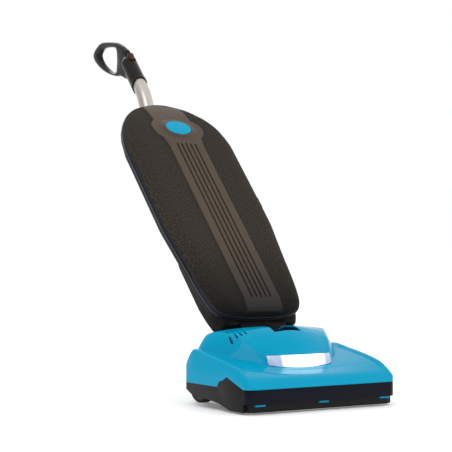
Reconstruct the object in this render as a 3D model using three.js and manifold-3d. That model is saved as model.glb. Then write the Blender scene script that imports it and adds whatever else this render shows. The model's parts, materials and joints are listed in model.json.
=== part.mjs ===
// A battery-powered upright vacuum cleaner for commercial floors, in millimetres, +Z up.
// The front of the head faces -Y, the machine is symmetric about X = 0 apart from its drive,
// and the handle stands at its working recline. The origin is under the middle of its box.
import * as THREE from "three";
import { mergeVertices } from "three/addons/utils/BufferGeometryUtils.js";
import Module from "manifold-3d";

const wasm = await Module();
wasm.setup();

// ---------------------------------------------------------------- driving dimensions

const CLEARANCE = 0.3; // between pieces that touch
const RUNNING = 0.6; // between a turning piece and what holds it
const WALL = 3; // moulded plastic walls
const SHELL_WALL = 2.2; // thinner walls of the large housing

// Head
const HEAD_WIDTH = 355;
const HEAD_DEPTH = 230; // bumper face to the back of the side panels
const BUMPER_TOP = 48;
const BUMPER_BOTTOM = 20;
const BUMPER_DEPTH = 3.5;
const BUMPER_RETURN = 20; // how far the bumper wraps round each corner
const CORNER_RADIUS = 18;
const LIP_INSET = 9; // the lower front lip stands back from the bumper
const LIP_BOTTOM = 4;
const FLOOR_PLATE_BOTTOM = 19;
const FLOOR_PLATE_TOP = 22;
const FLOOR_CORNER = 28; // the floor stops short of the back corners by this much
const FLOOR_CORNER_Y = 204;
const SHOULDER_HEIGHT = 115; // of the hood's side rails at the back
const DISH_DEPTH = 12; // the deck between the rails is this much lower
const CREST_HEIGHT = 158; // top of the motor dome

// Hinge of the handle, on the motor's axis
const HINGE_Y = 150;
const HINGE_HEIGHT = 60;
const RECLINE = 42.6; // degrees back from upright
const NECK_WIDTH = 58;
const NECK_DEPTH = 34;
const YOKE_HALF = 56; // the yoke that carries the housing
const YOKE_BACK_B = 24;
const BARREL_RADIUS = 26;
const BRACKET_WIDTH = 6;
const HINGE_GAP = 1; // between the neck's arm and each bracket

// Drive
const BRUSH_Y = 45;
const BRUSH_HEIGHT = 30;
const BRUSH_CORE_RADIUS = 19;
const BRISTLE_RADIUS = 26;
const BRUSH_LENGTH = 306;
const CHAMBER_RADIUS = 29;
const SHAFT_RADIUS = 4;
const MOTOR_RADIUS = 33;
const MOTOR_LENGTH = 66;
const FAN_RADIUS = 32;
const FAN_LENGTH = 20;
const PULLEY_RADIUS = 9;
const BRUSH_PULLEY_RADIUS = 17;
const BELT_WIDTH = 9;
const BELT_THICKNESS = 2;

// Running gear
const AXLE_Y = 255;
const AXLE_RADIUS = 5;
const WHEEL_RADIUS = 38;
const WHEEL_WIDTH = 22;
const WHEEL_INNER_X = 112;
const TYRE_THICKNESS = 6;
const ROLLER_RADIUS = 9;
const ROLLER_WIDTH = 18;
const ROLLER_X = 130;
const ROLLER_Y = 92;

// Handle release pedal, at the back of the head on the right
const PEDAL_X = 70;
const PEDAL_Y = 216;
const PEDAL_Z = 42;
const PEDAL_HALF_WIDTH = 11;
const PEDAL_PIN_RADIUS = 2.5;

// Turn-buttons of the brush plate
const LATCH_X = 96;
const LATCH_Y = 88;

// Suction duct
const DUCT_BORE = 17;
const DUCT_HEIGHT = 44;

// Bag housing, in the handle's own frame: b is back from the hinge line, h is up along it
const ZIP_B = -21.9;
const ZIP_WIDTH = 5;
const COVER_FRONT_B = -48.6;
const BACK_B = 8.1;
const BAG_BOTTOM_H = 129;
const BAG_TOP_H = 766;
const BAG_HALF_WIDTH = 135;
const COVER_WALL = 3.5;
const COVER_ROUND = 30; // rounding of the cover's shoulder
const BACK_ROUND = 16;
const SPINE_HALF_WIDTH = 44.5;
const SPINE_THICKNESS = 2.8;
const SPINE_GROOVES = 5;
const GROOVE_PITCH = 11.5;
const GROOVE_WIDTH = 4;
const BADGE_H = 665;
const BADGE_RX = 31.5;
const BADGE_RZ = 24;
const FLANGE_RX = 65;
const FLANGE_RZ = 47.5;

const SPIGOT_RADIUS = 10; // where the air enters the housing
const SPIGOT_B = -8;
const BAG_INLET_B = -25;
const BAG_INLET_H = 200;

// Battery, in the low back of the housing
const BATTERY_WIDTH = 140;
const BATTERY_LENGTH = 160;
const BATTERY_THICKNESS = 36;
const BATTERY_BOTTOM_H = 175;
const POD_BACK_B = 31; // outer face of the battery and its pod
const BUTTON_HALF = 12;

// Handle tube and grip
const TUBE_RADIUS = 17;
const TUBE_WALL = 1.5;
const TUBE_B = 31; // the tube's axis behind the housing
const GRIP_B = 6.1; // its axis in the grip
const TUBE_BOTTOM_H = 366;
const TUBE_TOP_H = 925;
const BEND_LOW_H = 765; // where the tube's straight runs would meet its slope
const BEND_HIGH_H = 838;
const COLLAR_H = 867; // height of the sleeve's slanting end on the grip's axis
const COLLAR_LENGTH = 8;
const COLLAR_SLANT = 0.4; // the end rises this much towards the front
const SLEEVE_WALL = 1.7; // of the grip round the tube
const GRIP_HALF_WIDTH = 8;

// Worked out from the driving dimensions
const GRIP_RADIUS = TUBE_RADIUS + CLEARANCE + SLEEVE_WALL;
const HALF_WIDTH = HEAD_WIDTH / 2;
const BRACKET_X = NECK_WIDTH / 2 + HINGE_GAP + BRACKET_WIDTH / 2;
const FAN_X = -(BRACKET_X + BRACKET_WIDTH / 2 + 6 + FAN_LENGTH / 2);
const DUCT_X = FAN_X - 36;
const MOTOR_X = BRACKET_X + BRACKET_WIDTH / 2 + 4 + MOTOR_LENGTH / 2;
const BRUSH_CENTRE_X = -6;
const PULLEY_X = BRUSH_CENTRE_X + BRUSH_LENGTH / 2 + 8;
const BELT_PULLEY_WIDTH = BELT_WIDTH + 2;
const CHAMBER_END = HALF_WIDTH - 8;
const BRUSH_END = BRUSH_CENTRE_X - BRUSH_LENGTH / 2;

// ---------------------------------------------------------------- solids

/** A closed three.js geometry as a manifold solid. */
function solid(geometry) {
  const bare = geometry.index ? geometry.toNonIndexed() : geometry.clone();
  bare.deleteAttribute("normal");
  bare.deleteAttribute("uv");
  const merged = mergeVertices(bare, 1e-4);
  const made = new wasm.Manifold(
    new wasm.Mesh({
      numProp: 3,
      vertProperties: new Float32Array(merged.attributes.position.array),
      triVerts: new Uint32Array(merged.index.array),
    }),
  );
  return made;
}

/** A manifold solid as a three.js geometry. */
function geometryOf(body) {
  const mesh = body.getMesh();
  const geometry = new THREE.BufferGeometry();
  geometry.setAttribute("position", new THREE.BufferAttribute(mesh.vertProperties, 3));
  geometry.setIndex(new THREE.BufferAttribute(mesh.triVerts, 1));
  return geometry;
}

function join(...bodies) {
  return bodies.reduce((whole, body) => whole.add(body));
}

function cut(body, ...tools) {
  return tools.reduce((left, tool) => left.subtract(tool), body);
}

/** Turns a shape drawn in (u, v) and extruded along w so that u is Y, v is Z and w is X. */
const AXES_YZX = new THREE.Matrix4().makeBasis(
  new THREE.Vector3(0, 1, 0),
  new THREE.Vector3(0, 0, 1),
  new THREE.Vector3(1, 0, 0),
);

/** A box between two corners. */
function box(x0, x1, y0, y1, z0, z1) {
  const geometry = new THREE.BoxGeometry(x1 - x0, y1 - y0, z1 - z0);
  geometry.translate((x0 + x1) / 2, (y0 + y1) / 2, (z0 + z1) / 2);
  return solid(geometry);
}

/** A cylinder on an axis parallel to X, from x0 to x1 at (y, z). */
function rodX(radius, x0, x1, y, z, sides = 20) {
  const geometry = new THREE.CylinderGeometry(radius, radius, x1 - x0, sides);
  geometry.rotateZ(-Math.PI / 2);
  geometry.translate((x0 + x1) / 2, y, z);
  return solid(geometry);
}

/** A cylinder on an axis parallel to Y. */
function rodY(radius, x, y0, y1, z, sides = 16) {
  const geometry = new THREE.CylinderGeometry(radius, radius, y1 - y0, sides);
  geometry.translate(x, (y0 + y1) / 2, z);
  return solid(geometry);
}

/** A cylinder on an axis parallel to Z. */
function rodZ(radius, x, y, z0, z1, sides = 20) {
  const geometry = new THREE.CylinderGeometry(radius, radius, z1 - z0, sides);
  geometry.rotateX(Math.PI / 2);
  geometry.translate(x, y, (z0 + z1) / 2);
  return solid(geometry);
}

/** A lathed profile of [radius, x] points about an axis parallel to X at (y, z). */
function latheX(profile, y, z, sides = 24) {
  const geometry = new THREE.LatheGeometry(profile.map(([r, x]) => new THREE.Vector2(r, x)), sides);
  geometry.rotateZ(-Math.PI / 2);
  geometry.translate(0, y, z);
  return solid(geometry);
}

/** A lathed profile of [radius, z] points about an axis parallel to Z at (x, y). */
function latheZ(profile, x, y, sides = 24) {
  const geometry = new THREE.LatheGeometry(profile.map(([r, z]) => new THREE.Vector2(r, z)), sides);
  geometry.rotateX(Math.PI / 2);
  geometry.translate(x, y, 0);
  return solid(geometry);
}

/** A shape drawn in (y, z), extruded along X from x0 to x1. */
function prismX(shape, x0, x1, divisions = 6) {
  const geometry = new THREE.ExtrudeGeometry(shape, {
    depth: x1 - x0,
    bevelEnabled: false,
    curveSegments: divisions,
  });
  geometry.applyMatrix4(AXES_YZX);
  geometry.translate(x0, 0, 0);
  return solid(geometry);
}

/** An outline in (b, h) of the given width about X = 0, its edges rounded if asked. */
function upright(points, width, round) {
  const geometry = new THREE.ExtrudeGeometry(shapeOf(points), {
    depth: width - (round ? 2 * round.thickness : 0),
    bevelEnabled: Boolean(round),
    bevelThickness: round ? round.thickness : 0,
    bevelSize: round ? round.size : 0,
    bevelOffset: round ? -round.size : 0,
    bevelSegments: round ? round.steps : 1,
  });
  geometry.applyMatrix4(AXES_YZX);
  geometry.translate(-width / 2 + (round ? round.thickness : 0), 0, 0);
  return solid(geometry);
}

/** A shape drawn in (x, y), extruded up from z0 to z1. */
function prismZ(shape, z0, z1, divisions = 6) {
  const geometry = new THREE.ExtrudeGeometry(shape, {
    depth: z1 - z0,
    bevelEnabled: false,
    curveSegments: divisions,
  });
  geometry.translate(0, 0, z0);
  return solid(geometry);
}

/** A shape drawn in (x, z), extruded from y0 (front) to y1 (back), its edges rounded if asked. */
function prismY(shape, y0, y1, divisions = 6, round = null) {
  const geometry = new THREE.ExtrudeGeometry(shape, {
    depth: y1 - y0 - (round ? 2 * round.thickness : 0),
    bevelEnabled: Boolean(round),
    bevelThickness: round ? round.thickness : 0,
    bevelSize: round ? round.size : 0,
    bevelOffset: round ? -round.size : 0,
    bevelSegments: round ? round.steps : 1,
    curveSegments: divisions,
  });
  geometry.rotateX(Math.PI / 2);
  geometry.translate(0, y1 - (round ? round.thickness : 0), 0);
  return solid(geometry);
}

/** A closed ring of points moved in by a distance, or out by a negative one. */
function offsetRing(ring, inset) {
  const n = ring.length;
  const way = Math.sign(THREE.ShapeUtils.area(ring));
  return ring.map((p, i) => {
    const a = ring[(i + n - 1) % n];
    const b = ring[(i + 1) % n];
    const normal = new THREE.Vector2(b.y - a.y, a.x - b.x).normalize();
    return new THREE.Vector2(p.x - way * normal.x * inset, p.y - way * normal.y * inset);
  });
}

function shapeOf(points) {
  return new THREE.Shape(points.map(([u, v]) => new THREE.Vector2(u, v)));
}

/** An ellipse about (0, v), as a shape. */
function ellipse(rx, rv, v, steps = 28) {
  const curve = new THREE.EllipseCurve(0, v, rx, rv, 0, 2 * Math.PI);
  return new THREE.Shape(curve.getPoints(steps).slice(0, -1));
}

/** Linear interpolation in a list of [key, value] pairs that rises in key. */
function along(list, key) {
  const last = list.length - 1;
  if (key <= list[0][0]) return list[0][1];
  if (key >= list[last][0]) return list[last][1];
  const i = list.findIndex(([k]) => k > key);
  const [k0, v0] = list[i - 1];
  const [k1, v1] = list[i];
  return v0 + ((v1 - v0) * (key - k0)) / (k1 - k0);
}

/** 0 below a, 1 above b, and smooth between. */
function smooth(a, b, value) {
  return THREE.MathUtils.smoothstep(value, a, b);
}

// ---------------------------------------------------------------- finishes

const FINISH = {
  hood: [0x00a6d6, 0.12, 0],
  bumper: [0x15181f, 0.6, 0],
  base: [0x26241f, 0.65, 0],
  shell: [0x2e2a25, 0.5, 0],
  fabric: [0x3c3731, 0.95, 0],
  spine: [0x3b342b, 0.4, 0],
  zip: [0x1c1b1a, 0.7, 0],
  badge: [0x0aa5d8, 0.25, 0],
  lens: [0xe9f4ff, 0.05, 0],
  lamp: [0xffffff, 0.3, 0],
  aluminium: [0xc8c6c2, 0.3, 1],
  grip: [0x14110f, 0.25, 0],
  red: [0x6e2f2c, 0.4, 0],
  steel: [0xb4b4b2, 0.35, 1],
  castAlloy: [0x9a9b9d, 0.5, 1],
  rubber: [0x161616, 0.9, 0],
  bristle: [0x121212, 0.9, 0],
  nylon: [0x8f949a, 0.5, 0],
  board: [0x1f5b3a, 0.5, 0],
  paper: [0xcdbf9f, 0.95, 0],
  felt: [0xd9d9d4, 0.95, 0],
  brass: [0xb08d4a, 0.35, 1],
};

/** One named sub-part in its finish. */
function piece(group, name, body, finish) {
  const [color, roughness, metalness] = FINISH[finish];
  const material = new THREE.MeshStandardMaterial({ color, roughness, metalness });
  const mesh = new THREE.Mesh(geometryOf(body), material);
  mesh.name = name;
  group.add(mesh);
}

// ---------------------------------------------------------------- head: outlines and heights

/** The head's plan, inset all round, with rounded front corners. */
function headPlan(inset) {
  const w = HALF_WIDTH - inset;
  const r = CORNER_RADIUS - inset;
  const y0 = inset;
  const y1 = HEAD_DEPTH - inset;
  const plan = new THREE.Shape();
  plan.moveTo(-w, y1);
  plan.lineTo(-w, y0 + r);
  plan.absarc(-w + r, y0 + r, r, Math.PI, 1.5 * Math.PI);
  plan.lineTo(w - r, y0);
  plan.absarc(w - r, y0 + r, r, 1.5 * Math.PI, 2 * Math.PI);
  plan.lineTo(w, y1);
  plan.closePath();
  return plan;
}

const RAIL = [
  [0, BUMPER_TOP],
  [1.5, 52],
  [5, 57],
  [14, 66],
  [27, 75],
  [50, 87],
  [85, 96],
  [150, 107.5],
  [205, SHOULDER_HEIGHT],
  [HEAD_DEPTH, 91],
];
const DOME_TOP = [
  [69, 78],
  [71, 82],
  [79, 105],
  [86, 113],
  [96, 125],
  [110, 139],
  [128, 151],
  [150, CREST_HEIGHT],
  [178, CREST_HEIGHT - 1],
  [205, CREST_HEIGHT - 8],
  [218, CREST_HEIGHT - 26],
  [HEAD_DEPTH, CREST_HEIGHT - 60],
];
const DOME_BASE = [
  [70, 78],
  [88, 84],
  [118, 110],
  [150, 135],
  [205, 164],
  [HEAD_DEPTH, 168],
];
const DOME_SIDE_RUN = [
  [88, 6],
  [118, 16],
  [150, 28],
];
const RAIL_ROUND = 6;
const DISH_HALF_WIDTH = HALF_WIDTH - 15;

/** Height of the hood's outer skin above the floor. */
function hoodHeight(x, y) {
  const across = Math.abs(x);
  const rail = along(RAIL, y);
  const edge = Math.max(0, across - (HALF_WIDTH - RAIL_ROUND));
  const round = RAIL_ROUND - Math.sqrt(Math.max(0, RAIL_ROUND ** 2 - edge ** 2));
  const middle = DISH_DEPTH * (1 - 0.65 * (across / DISH_HALF_WIDTH) ** 2);
  const inside = 1 - smooth(DISH_HALF_WIDTH - 1, DISH_HALF_WIDTH + 6, across);
  const dish = middle * inside * smooth(8, 55, y);
  const deck = rail - dish - round;
  const front = y - 9 * Math.min(1, across / 80) ** 2;
  const base = along(DOME_BASE, y);
  const rear = smooth(150, 205, y);
  const run = along(DOME_SIDE_RUN, y);
  const crown = 16.5 * (1 - 0.5 * rear) * Math.min(1, across / (base - run)) ** 2;
  const fall = Math.max(0, across - (base - run)) / run;
  const top = along(DOME_TOP, front) - crown;
  const dome = top - (top - deck) * Math.min(1, fall ** 1.3);
  return Math.max(deck, fall < 1 ? dome : deck);
}

/** Height of the hood's inner skin: its outer skin brought in by the wall in every direction. */
function hollowHeight(x, y) {
  const around = [-1, 0, 1].flatMap((i) => [-1, 0, 1].map((j) => hoodHeight(x + i * WALL, y + j * WALL)));
  return Math.min(...around) - WALL / 2;
}

/** A closed body under the surface height(x, y), down to z = floor, over the given lines. */
function underSurface(xs, ys, floor, height) {
  const positions = [];
  const top = (i, j) => [xs[i], ys[j], height(xs[i], ys[j])];
  const low = (i, j) => [xs[i], ys[j], floor];
  const quad = (a, b, c, d) => positions.push(...a, ...b, ...c, ...a, ...c, ...d);
  const nx = xs.length - 1;
  const ny = ys.length - 1;
  for (let i = 0; i < nx; i++) {
    for (let j = 0; j < ny; j++) {
      quad(top(i, j), top(i + 1, j), top(i + 1, j + 1), top(i, j + 1));
      quad(low(i, j), low(i, j + 1), low(i + 1, j + 1), low(i + 1, j));
    }
    quad(low(i, 0), low(i + 1, 0), top(i + 1, 0), top(i, 0));
    quad(low(i + 1, ny), low(i, ny), top(i, ny), top(i + 1, ny));
  }
  for (let j = 0; j < ny; j++) {
    quad(low(0, j + 1), low(0, j), top(0, j), top(0, j + 1));
    quad(low(nx, j), low(nx, j + 1), top(nx, j + 1), top(nx, j));
  }
  const geometry = new THREE.BufferGeometry();
  geometry.setAttribute("position", new THREE.Float32BufferAttribute(positions, 3));
  return solid(geometry);
}

/** The same distances on both sides of the middle, in rising order. */
function mirrored(half) {
  return [...half.map((x) => -x).reverse(), 0, ...half];
}

// Lines across and along the head where the hood's surface changes.
const HOOD_LINES_X = mirrored([
  30, 60, 80, 100, 120, 140, 154, HALF_WIDTH - 16, HALF_WIDTH - 9, HALF_WIDTH - 5.5, HALF_WIDTH - 2,
  HALF_WIDTH + 1,
]);
const HOOD_LINES_Y = [-1, 1.5, 5, 14, 27, 50, 69, 71, 79, 88, 98, 112, 128, 150, 180, 205, 218, HEAD_DEPTH + 1];
const HOLLOW_LINES_X = mirrored([40, 76, 92, 108, 124, 140, 156, HALF_WIDTH - 12, HALF_WIDTH + 1]);
const HOLLOW_LINES_Y = [-1, 5, 14, 27, 50, 70, 80, 92, 104, 118, 133, 150, 180, 205, 218, HEAD_DEPTH + 1];

/** The upper edge of the black side skirt, as a body that fills everything below it. */
function belowSkirtEdge(gap) {
  return prismX(
    shapeOf([
      [-20, -20],
      [HEAD_DEPTH + 20, -20],
      [HEAD_DEPTH + 20, 46 + gap],
      [114, 46 + gap],
      [106, 57 + gap],
      [92, 60.5 + gap],
      [79, 68 + gap],
      [BUMPER_RETURN + 0.5, BUMPER_TOP + gap],
      [-20, BUMPER_TOP + gap],
    ]),
    -HALF_WIDTH - 20,
    HALF_WIDTH + 20,
  );
}

/** Everything under the side skirt's lower edge, which rises towards the back. */
function underSkirt() {
  return prismX(
    shapeOf([
      [60, -20],
      [66, LIP_BOTTOM],
      [81, 8],
      [110, 15],
      [151, FLOOR_PLATE_BOTTOM],
      [197, FLOOR_PLATE_BOTTOM - 1],
      [228, 32],
      [HEAD_DEPTH + 20, 46],
      [HEAD_DEPTH + 20, -20],
    ]),
    -HALF_WIDTH - 20,
    HALF_WIDTH + 20,
  );
}

// ---------------------------------------------------------------- head: pieces

const NECK_SLOT_HALF = NECK_WIDTH / 2 + 3.5;
const NECK_SLOT_FRONT = HINGE_Y - NECK_DEPTH / 2 - 7;

/** Openings in the back wall for the two wheels and the pedal. */
function backOpenings() {
  const wheelSlots = [-1, 1].map((side) => {
    const middle = side * (WHEEL_INNER_X + WHEEL_WIDTH / 2);
    const half = WHEEL_WIDTH / 2 + 2.5;
    const front = AXLE_Y - WHEEL_RADIUS - 4;
    return box(middle - half, middle + half, front, HEAD_DEPTH + 5, 0, 2 * WHEEL_RADIUS + 3);
  });
  const pedalSlot = box(
    PEDAL_X - PEDAL_HALF_WIDTH - 2,
    PEDAL_X + PEDAL_HALF_WIDTH + 2,
    HEAD_DEPTH - 8,
    HEAD_DEPTH + 5,
    22,
    68,
  );
  return join(...wheelSlots, pedalSlot);
}

function hood() {
  const skin = underSurface(HOOD_LINES_X, HOOD_LINES_Y, 20, hoodHeight).intersect(prismZ(headPlan(0), 0, 250));
  const hollow = underSurface(HOLLOW_LINES_X, HOLLOW_LINES_Y, 10, hollowHeight).intersect(
    prismZ(headPlan(WALL), 0, 250),
  );
  const slot = box(-NECK_SLOT_HALF, NECK_SLOT_HALF, NECK_SLOT_FRONT, HEAD_DEPTH + 9, 0, 300);
  return cut(skin, hollow, belowSkirtEdge(CLEARANCE), slot, lensPocket(), backOpenings(), ...vents());
}

const LENS_HALF = 76;
const LENS_BOTTOM = 80;
const LENS_TOP = 104.5;
const LENS_BOW = 8.5;
const LENS_RISE = 7;
const LENS_SLOPE = 0.36; // how far the face leans back for each millimetre of height

/** The band across the dome's front face that the lens fills, over a given depth. */
function lensBand(near, far, half, inset) {
  const steps = 10;
  const lines = Array.from({ length: steps + 1 }, (_, i) => -half + (2 * half * i) / steps);
  // Towards its ends the band stands further back, and its lower edge rises.
  const bow = (x) => Math.min(1, Math.abs(x) / LENS_HALF) ** 2;
  const ring = (x) => {
    const back = LENS_BOW * bow(x);
    const low = LENS_BOTTOM + LENS_RISE * bow(x) + inset;
    const foot = 70 + (low - LENS_BOTTOM) * LENS_SLOPE;
    return [
      [x, foot + near + back, low],
      [x, 79 + near + back, LENS_TOP - inset],
      [x, 79 + far + back, LENS_TOP - inset],
      [x, foot + far + back, low],
    ];
  };
  const positions = [];
  const quad = (a, b, c, d) => positions.push(...a, ...b, ...c, ...a, ...c, ...d);
  for (let i = 0; i < steps; i++) {
    const a = ring(lines[i]);
    const b = ring(lines[i + 1]);
    for (let k = 0; k < 4; k++) {
      const m = (k + 1) % 4;
      quad(a[k], b[k], b[m], a[m]);
    }
  }
  const first = ring(-half);
  const last = ring(half);
  quad(first[0], first[1], first[2], first[3]);
  quad(last[3], last[2], last[1], last[0]);
  const geometry = new THREE.BufferGeometry();
  geometry.setAttribute("position", new THREE.Float32BufferAttribute(positions, 3));
  return solid(geometry);
}

function lensPocket() {
  return lensBand(-6, 12, LENS_HALF + CLEARANCE, -CLEARANCE);
}

/** Two rows of short slots on the left of the dome that let warm air out. */
function vents() {
  const made = [];
  for (const x of [-118, -104, -90]) {
    for (const y of [150, 162]) {
      made.push(box(x - 5, x + 5, y - 2, y + 2, 100, 200));
    }
  }
  return made;
}

/** The tunnel that the brush turns in: its outside, down to the lip, or its bore. */
function brushTunnel(radius, end) {
  const tunnel = join(
    rodX(radius, -end, end, BRUSH_Y, BRUSH_HEIGHT, 24),
    box(-end, end, BRUSH_Y - radius, BRUSH_Y + radius, LIP_BOTTOM - 3, BRUSH_HEIGHT),
  );
  return tunnel;
}

/** Plate that carries one end of the handle's hinge. */
function hingeBracket(side) {
  const x0 = side * BRACKET_X - BRACKET_WIDTH / 2;
  const x1 = x0 + BRACKET_WIDTH;
  const plate = join(
    box(x0, x1, HINGE_Y - 30, HINGE_Y + 34, FLOOR_PLATE_BOTTOM + 1, HINGE_HEIGHT),
    rodX(BARREL_RADIUS + 12, x0, x1, HINGE_Y, HINGE_HEIGHT, 24),
  );
  return cut(plate, rodX(BARREL_RADIUS + 5, x0 - 1, x1 + 1, HINGE_Y, HINGE_HEIGHT, 24));
}

/** Arm that reaches back from the floor plate to the axle. */
function axleArm(side) {
  const x0 = side * (WHEEL_INNER_X - 9) - 5;
  return join(
    box(x0, x0 + 10, AXLE_Y - 65, AXLE_Y, FLOOR_PLATE_BOTTOM + 1, WHEEL_RADIUS + 8),
    rodX(14, x0, x0 + 10, AXLE_Y, WHEEL_RADIUS, 16),
  );
}

/** Two ears that hold a front roller's pin. */
function rollerEars(side) {
  return [-1, 1].map((end) => {
    const x = side * ROLLER_X + end * (ROLLER_WIDTH / 2 + 3);
    return box(x - 2, x + 2, ROLLER_Y - 8, ROLLER_Y + 8, LIP_BOTTOM, FLOOR_PLATE_BOTTOM + 1);
  });
}

/** Chassis: floor, side skirts, brush chamber, hinge brackets and axle arms in one moulding. */
function chassis() {
  const skirt = cut(
    prismZ(headPlan(0), LIP_BOTTOM, 100),
    prismZ(headPlan(WALL), LIP_BOTTOM - 1, 101),
    box(-HALF_WIDTH - 1, HALF_WIDTH + 1, -1, BUMPER_RETURN + 0.5, -1, 101),
    underSkirt(),
  ).intersect(belowSkirtEdge(0));
  const inside = HALF_WIDTH - WALL + 1;
  const lip = cut(
    prismZ(headPlan(LIP_INSET), LIP_BOTTOM, BUMPER_TOP - 4),
    prismZ(headPlan(LIP_INSET + WALL), LIP_BOTTOM - 1, BUMPER_TOP),
    box(-HALF_WIDTH, HALF_WIDTH, BRUSH_Y, HEAD_DEPTH, 0, 100),
  );
  const links = [-1, 1].map((side) => {
    const middle = side * (HALF_WIDTH - LIP_INSET / 2 - WALL);
    return box(middle - 5.5, middle + 5.5, BUMPER_RETURN + 1, BUMPER_RETURN + 6, LIP_BOTTOM, 44);
  });
  const corners = [-1, 1].map((side) => {
    const middle = side * HALF_WIDTH;
    return box(middle - FLOOR_CORNER, middle + FLOOR_CORNER, FLOOR_CORNER_Y, HEAD_DEPTH, 0, FLOOR_PLATE_TOP + 1);
  });
  const floor = cut(
    box(-inside, inside, BRUSH_Y + CHAMBER_RADIUS, HEAD_DEPTH - 1, FLOOR_PLATE_BOTTOM, FLOOR_PLATE_TOP),
    ...corners,
  );
  const pedalPosts = [-1, 1].map((end) => {
    const x = PEDAL_X + end * (PEDAL_HALF_WIDTH + 3);
    return box(x - 2, x + 2, PEDAL_Y - 8, PEDAL_Y + 8, 20, PEDAL_Z + 8);
  });
  const tunnel = cut(
    brushTunnel(CHAMBER_RADIUS + WALL, CHAMBER_END),
    box(-HALF_WIDTH, HALF_WIDTH, -50, LIP_INSET + WALL, -50, 100),
    box(-HALF_WIDTH, HALF_WIDTH, -50, 200, -50, LIP_BOTTOM),
  );
  const beltSlot = box(
    PULLEY_X - BELT_PULLEY_WIDTH / 2 - 2,
    PULLEY_X + BELT_PULLEY_WIDTH / 2 + 2,
    BRUSH_Y,
    BRUSH_Y + CHAMBER_RADIUS + 10,
    10,
    74,
  );
  const pinHoles = [-1, 1].map((side) => {
    const x = side * ROLLER_X;
    return rodX(2.6, x - 14, x + 14, ROLLER_Y, ROLLER_RADIUS, 10);
  });
  const whole = join(
    skirt,
    lip,
    ...links,
    floor,
    tunnel,
    hingeBracket(-1),
    hingeBracket(1),
    axleArm(-1),
    axleArm(1),
    ...rollerEars(-1),
    ...rollerEars(1),
    ...pedalPosts,
  );
  return cut(
    whole,
    brushTunnel(CHAMBER_RADIUS, CHAMBER_END - WALL),
    beltSlot,
    rodY(DUCT_BORE, DUCT_X, BRUSH_Y + 15, BRUSH_Y + 45, DUCT_HEIGHT, 16),
    rodX(AXLE_RADIUS + CLEARANCE, -120, 120, AXLE_Y, WHEEL_RADIUS, 16),
    rodX(PEDAL_PIN_RADIUS + CLEARANCE, PEDAL_X - 20, PEDAL_X + 20, PEDAL_Y, PEDAL_Z, 12),
    backOpenings(),
    ...pinHoles,
  );
}

function bumper() {
  const front = cut(
    prismZ(headPlan(0), BUMPER_BOTTOM, BUMPER_TOP),
    prismZ(headPlan(BUMPER_DEPTH), BUMPER_BOTTOM - 1, BUMPER_TOP + 1),
    box(-HALF_WIDTH - 1, HALF_WIDTH + 1, BUMPER_RETURN + 0.2, HEAD_DEPTH + 1, 0, 100),
  );
  const shelf = box(-HALF_WIDTH + 14, HALF_WIDTH - 14, 3, LIP_INSET - CLEARANCE, BUMPER_BOTTOM, 24);
  return join(front, shelf);
}

function hoodTab(x) {
  return box(x - 11, x + 11, 2, LIP_INSET - CLEARANCE, BUMPER_BOTTOM - 3.8, BUMPER_BOTTOM - CLEARANCE);
}

/** The plate under the brush, with guard bars across its mouth. */
function brushPlate() {
  const half = HALF_WIDTH - 12;
  const top = LIP_BOTTOM - CLEARANCE;
  const plate = box(-half, half, 15, 82, top - 1.7, top);
  const bars = 6;
  const span = 2 * half - 24;
  const pitch = span / bars;
  const mouths = [];
  for (let i = 0; i < bars; i++) {
    const x0 = -span / 2 + i * pitch + 2;
    mouths.push(box(x0, x0 + pitch - 4, BRUSH_Y - 22, BRUSH_Y + 22, 0, 5));
  }
  return cut(plate, ...mouths);
}

/** Turn-button that keeps the brush plate up: its blade lies under the plate's back edge. */
function plateLatch(side) {
  const x = side * LATCH_X;
  const top = LIP_BOTTOM - 2 - CLEARANCE;
  return join(
    box(x - 5, x + 5, LATCH_Y - 11, LATCH_Y + 11, top - 1.1, top),
    rodZ(4, x, LATCH_Y, top - 1.1, FLOOR_PLATE_BOTTOM - CLEARANCE, 12),
  );
}

/** Driver board for the motor and the lamp, with its largest parts. */
function controlBoard() {
  const z = 26;
  return join(
    box(-94, -44, 186, 222, z, z + 1.6),
    box(-90, -74, 190, 206, z + 1.5, z + 12),
    rodZ(6, -60, 198, z + 1.5, z + 18, 12),
    box(-88, -66, 211, 219, z + 1.5, z + 8),
    box(-56, -50, 208, 218, z + 1.5, z + 6),
    ...[-90, -48].flatMap((x) => [190, 218].map((y) => rodZ(2, x, y, 22 + CLEARANCE, z + 1, 8))),
  );
}

function lampBoard() {
  return lensBand(6, 8, 55, 5);
}

function lens() {
  return lensBand(0, 3.2, LENS_HALF, 0);
}

// ---------------------------------------------------------------- head: drive

function motorCase() {
  const x0 = MOTOR_X - MOTOR_LENGTH / 2;
  const x1 = MOTOR_X + MOTOR_LENGTH / 2;
  const can = rodX(MOTOR_RADIUS, x0, x1, HINGE_Y, HINGE_HEIGHT, 28);
  const foot = box(x0 + 8, x1 - 8, HINGE_Y - 24, HINGE_Y + 24, 22 + CLEARANCE, HINGE_HEIGHT);
  const bore = rodX(26, x0 - 1, x1 - 4, HINGE_Y, HINGE_HEIGHT, 24);
  return cut(join(can, foot), bore, rodX(SHAFT_RADIUS + 1, x0 - 5, x1 + 5, HINGE_Y, HINGE_HEIGHT, 16));
}

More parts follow.
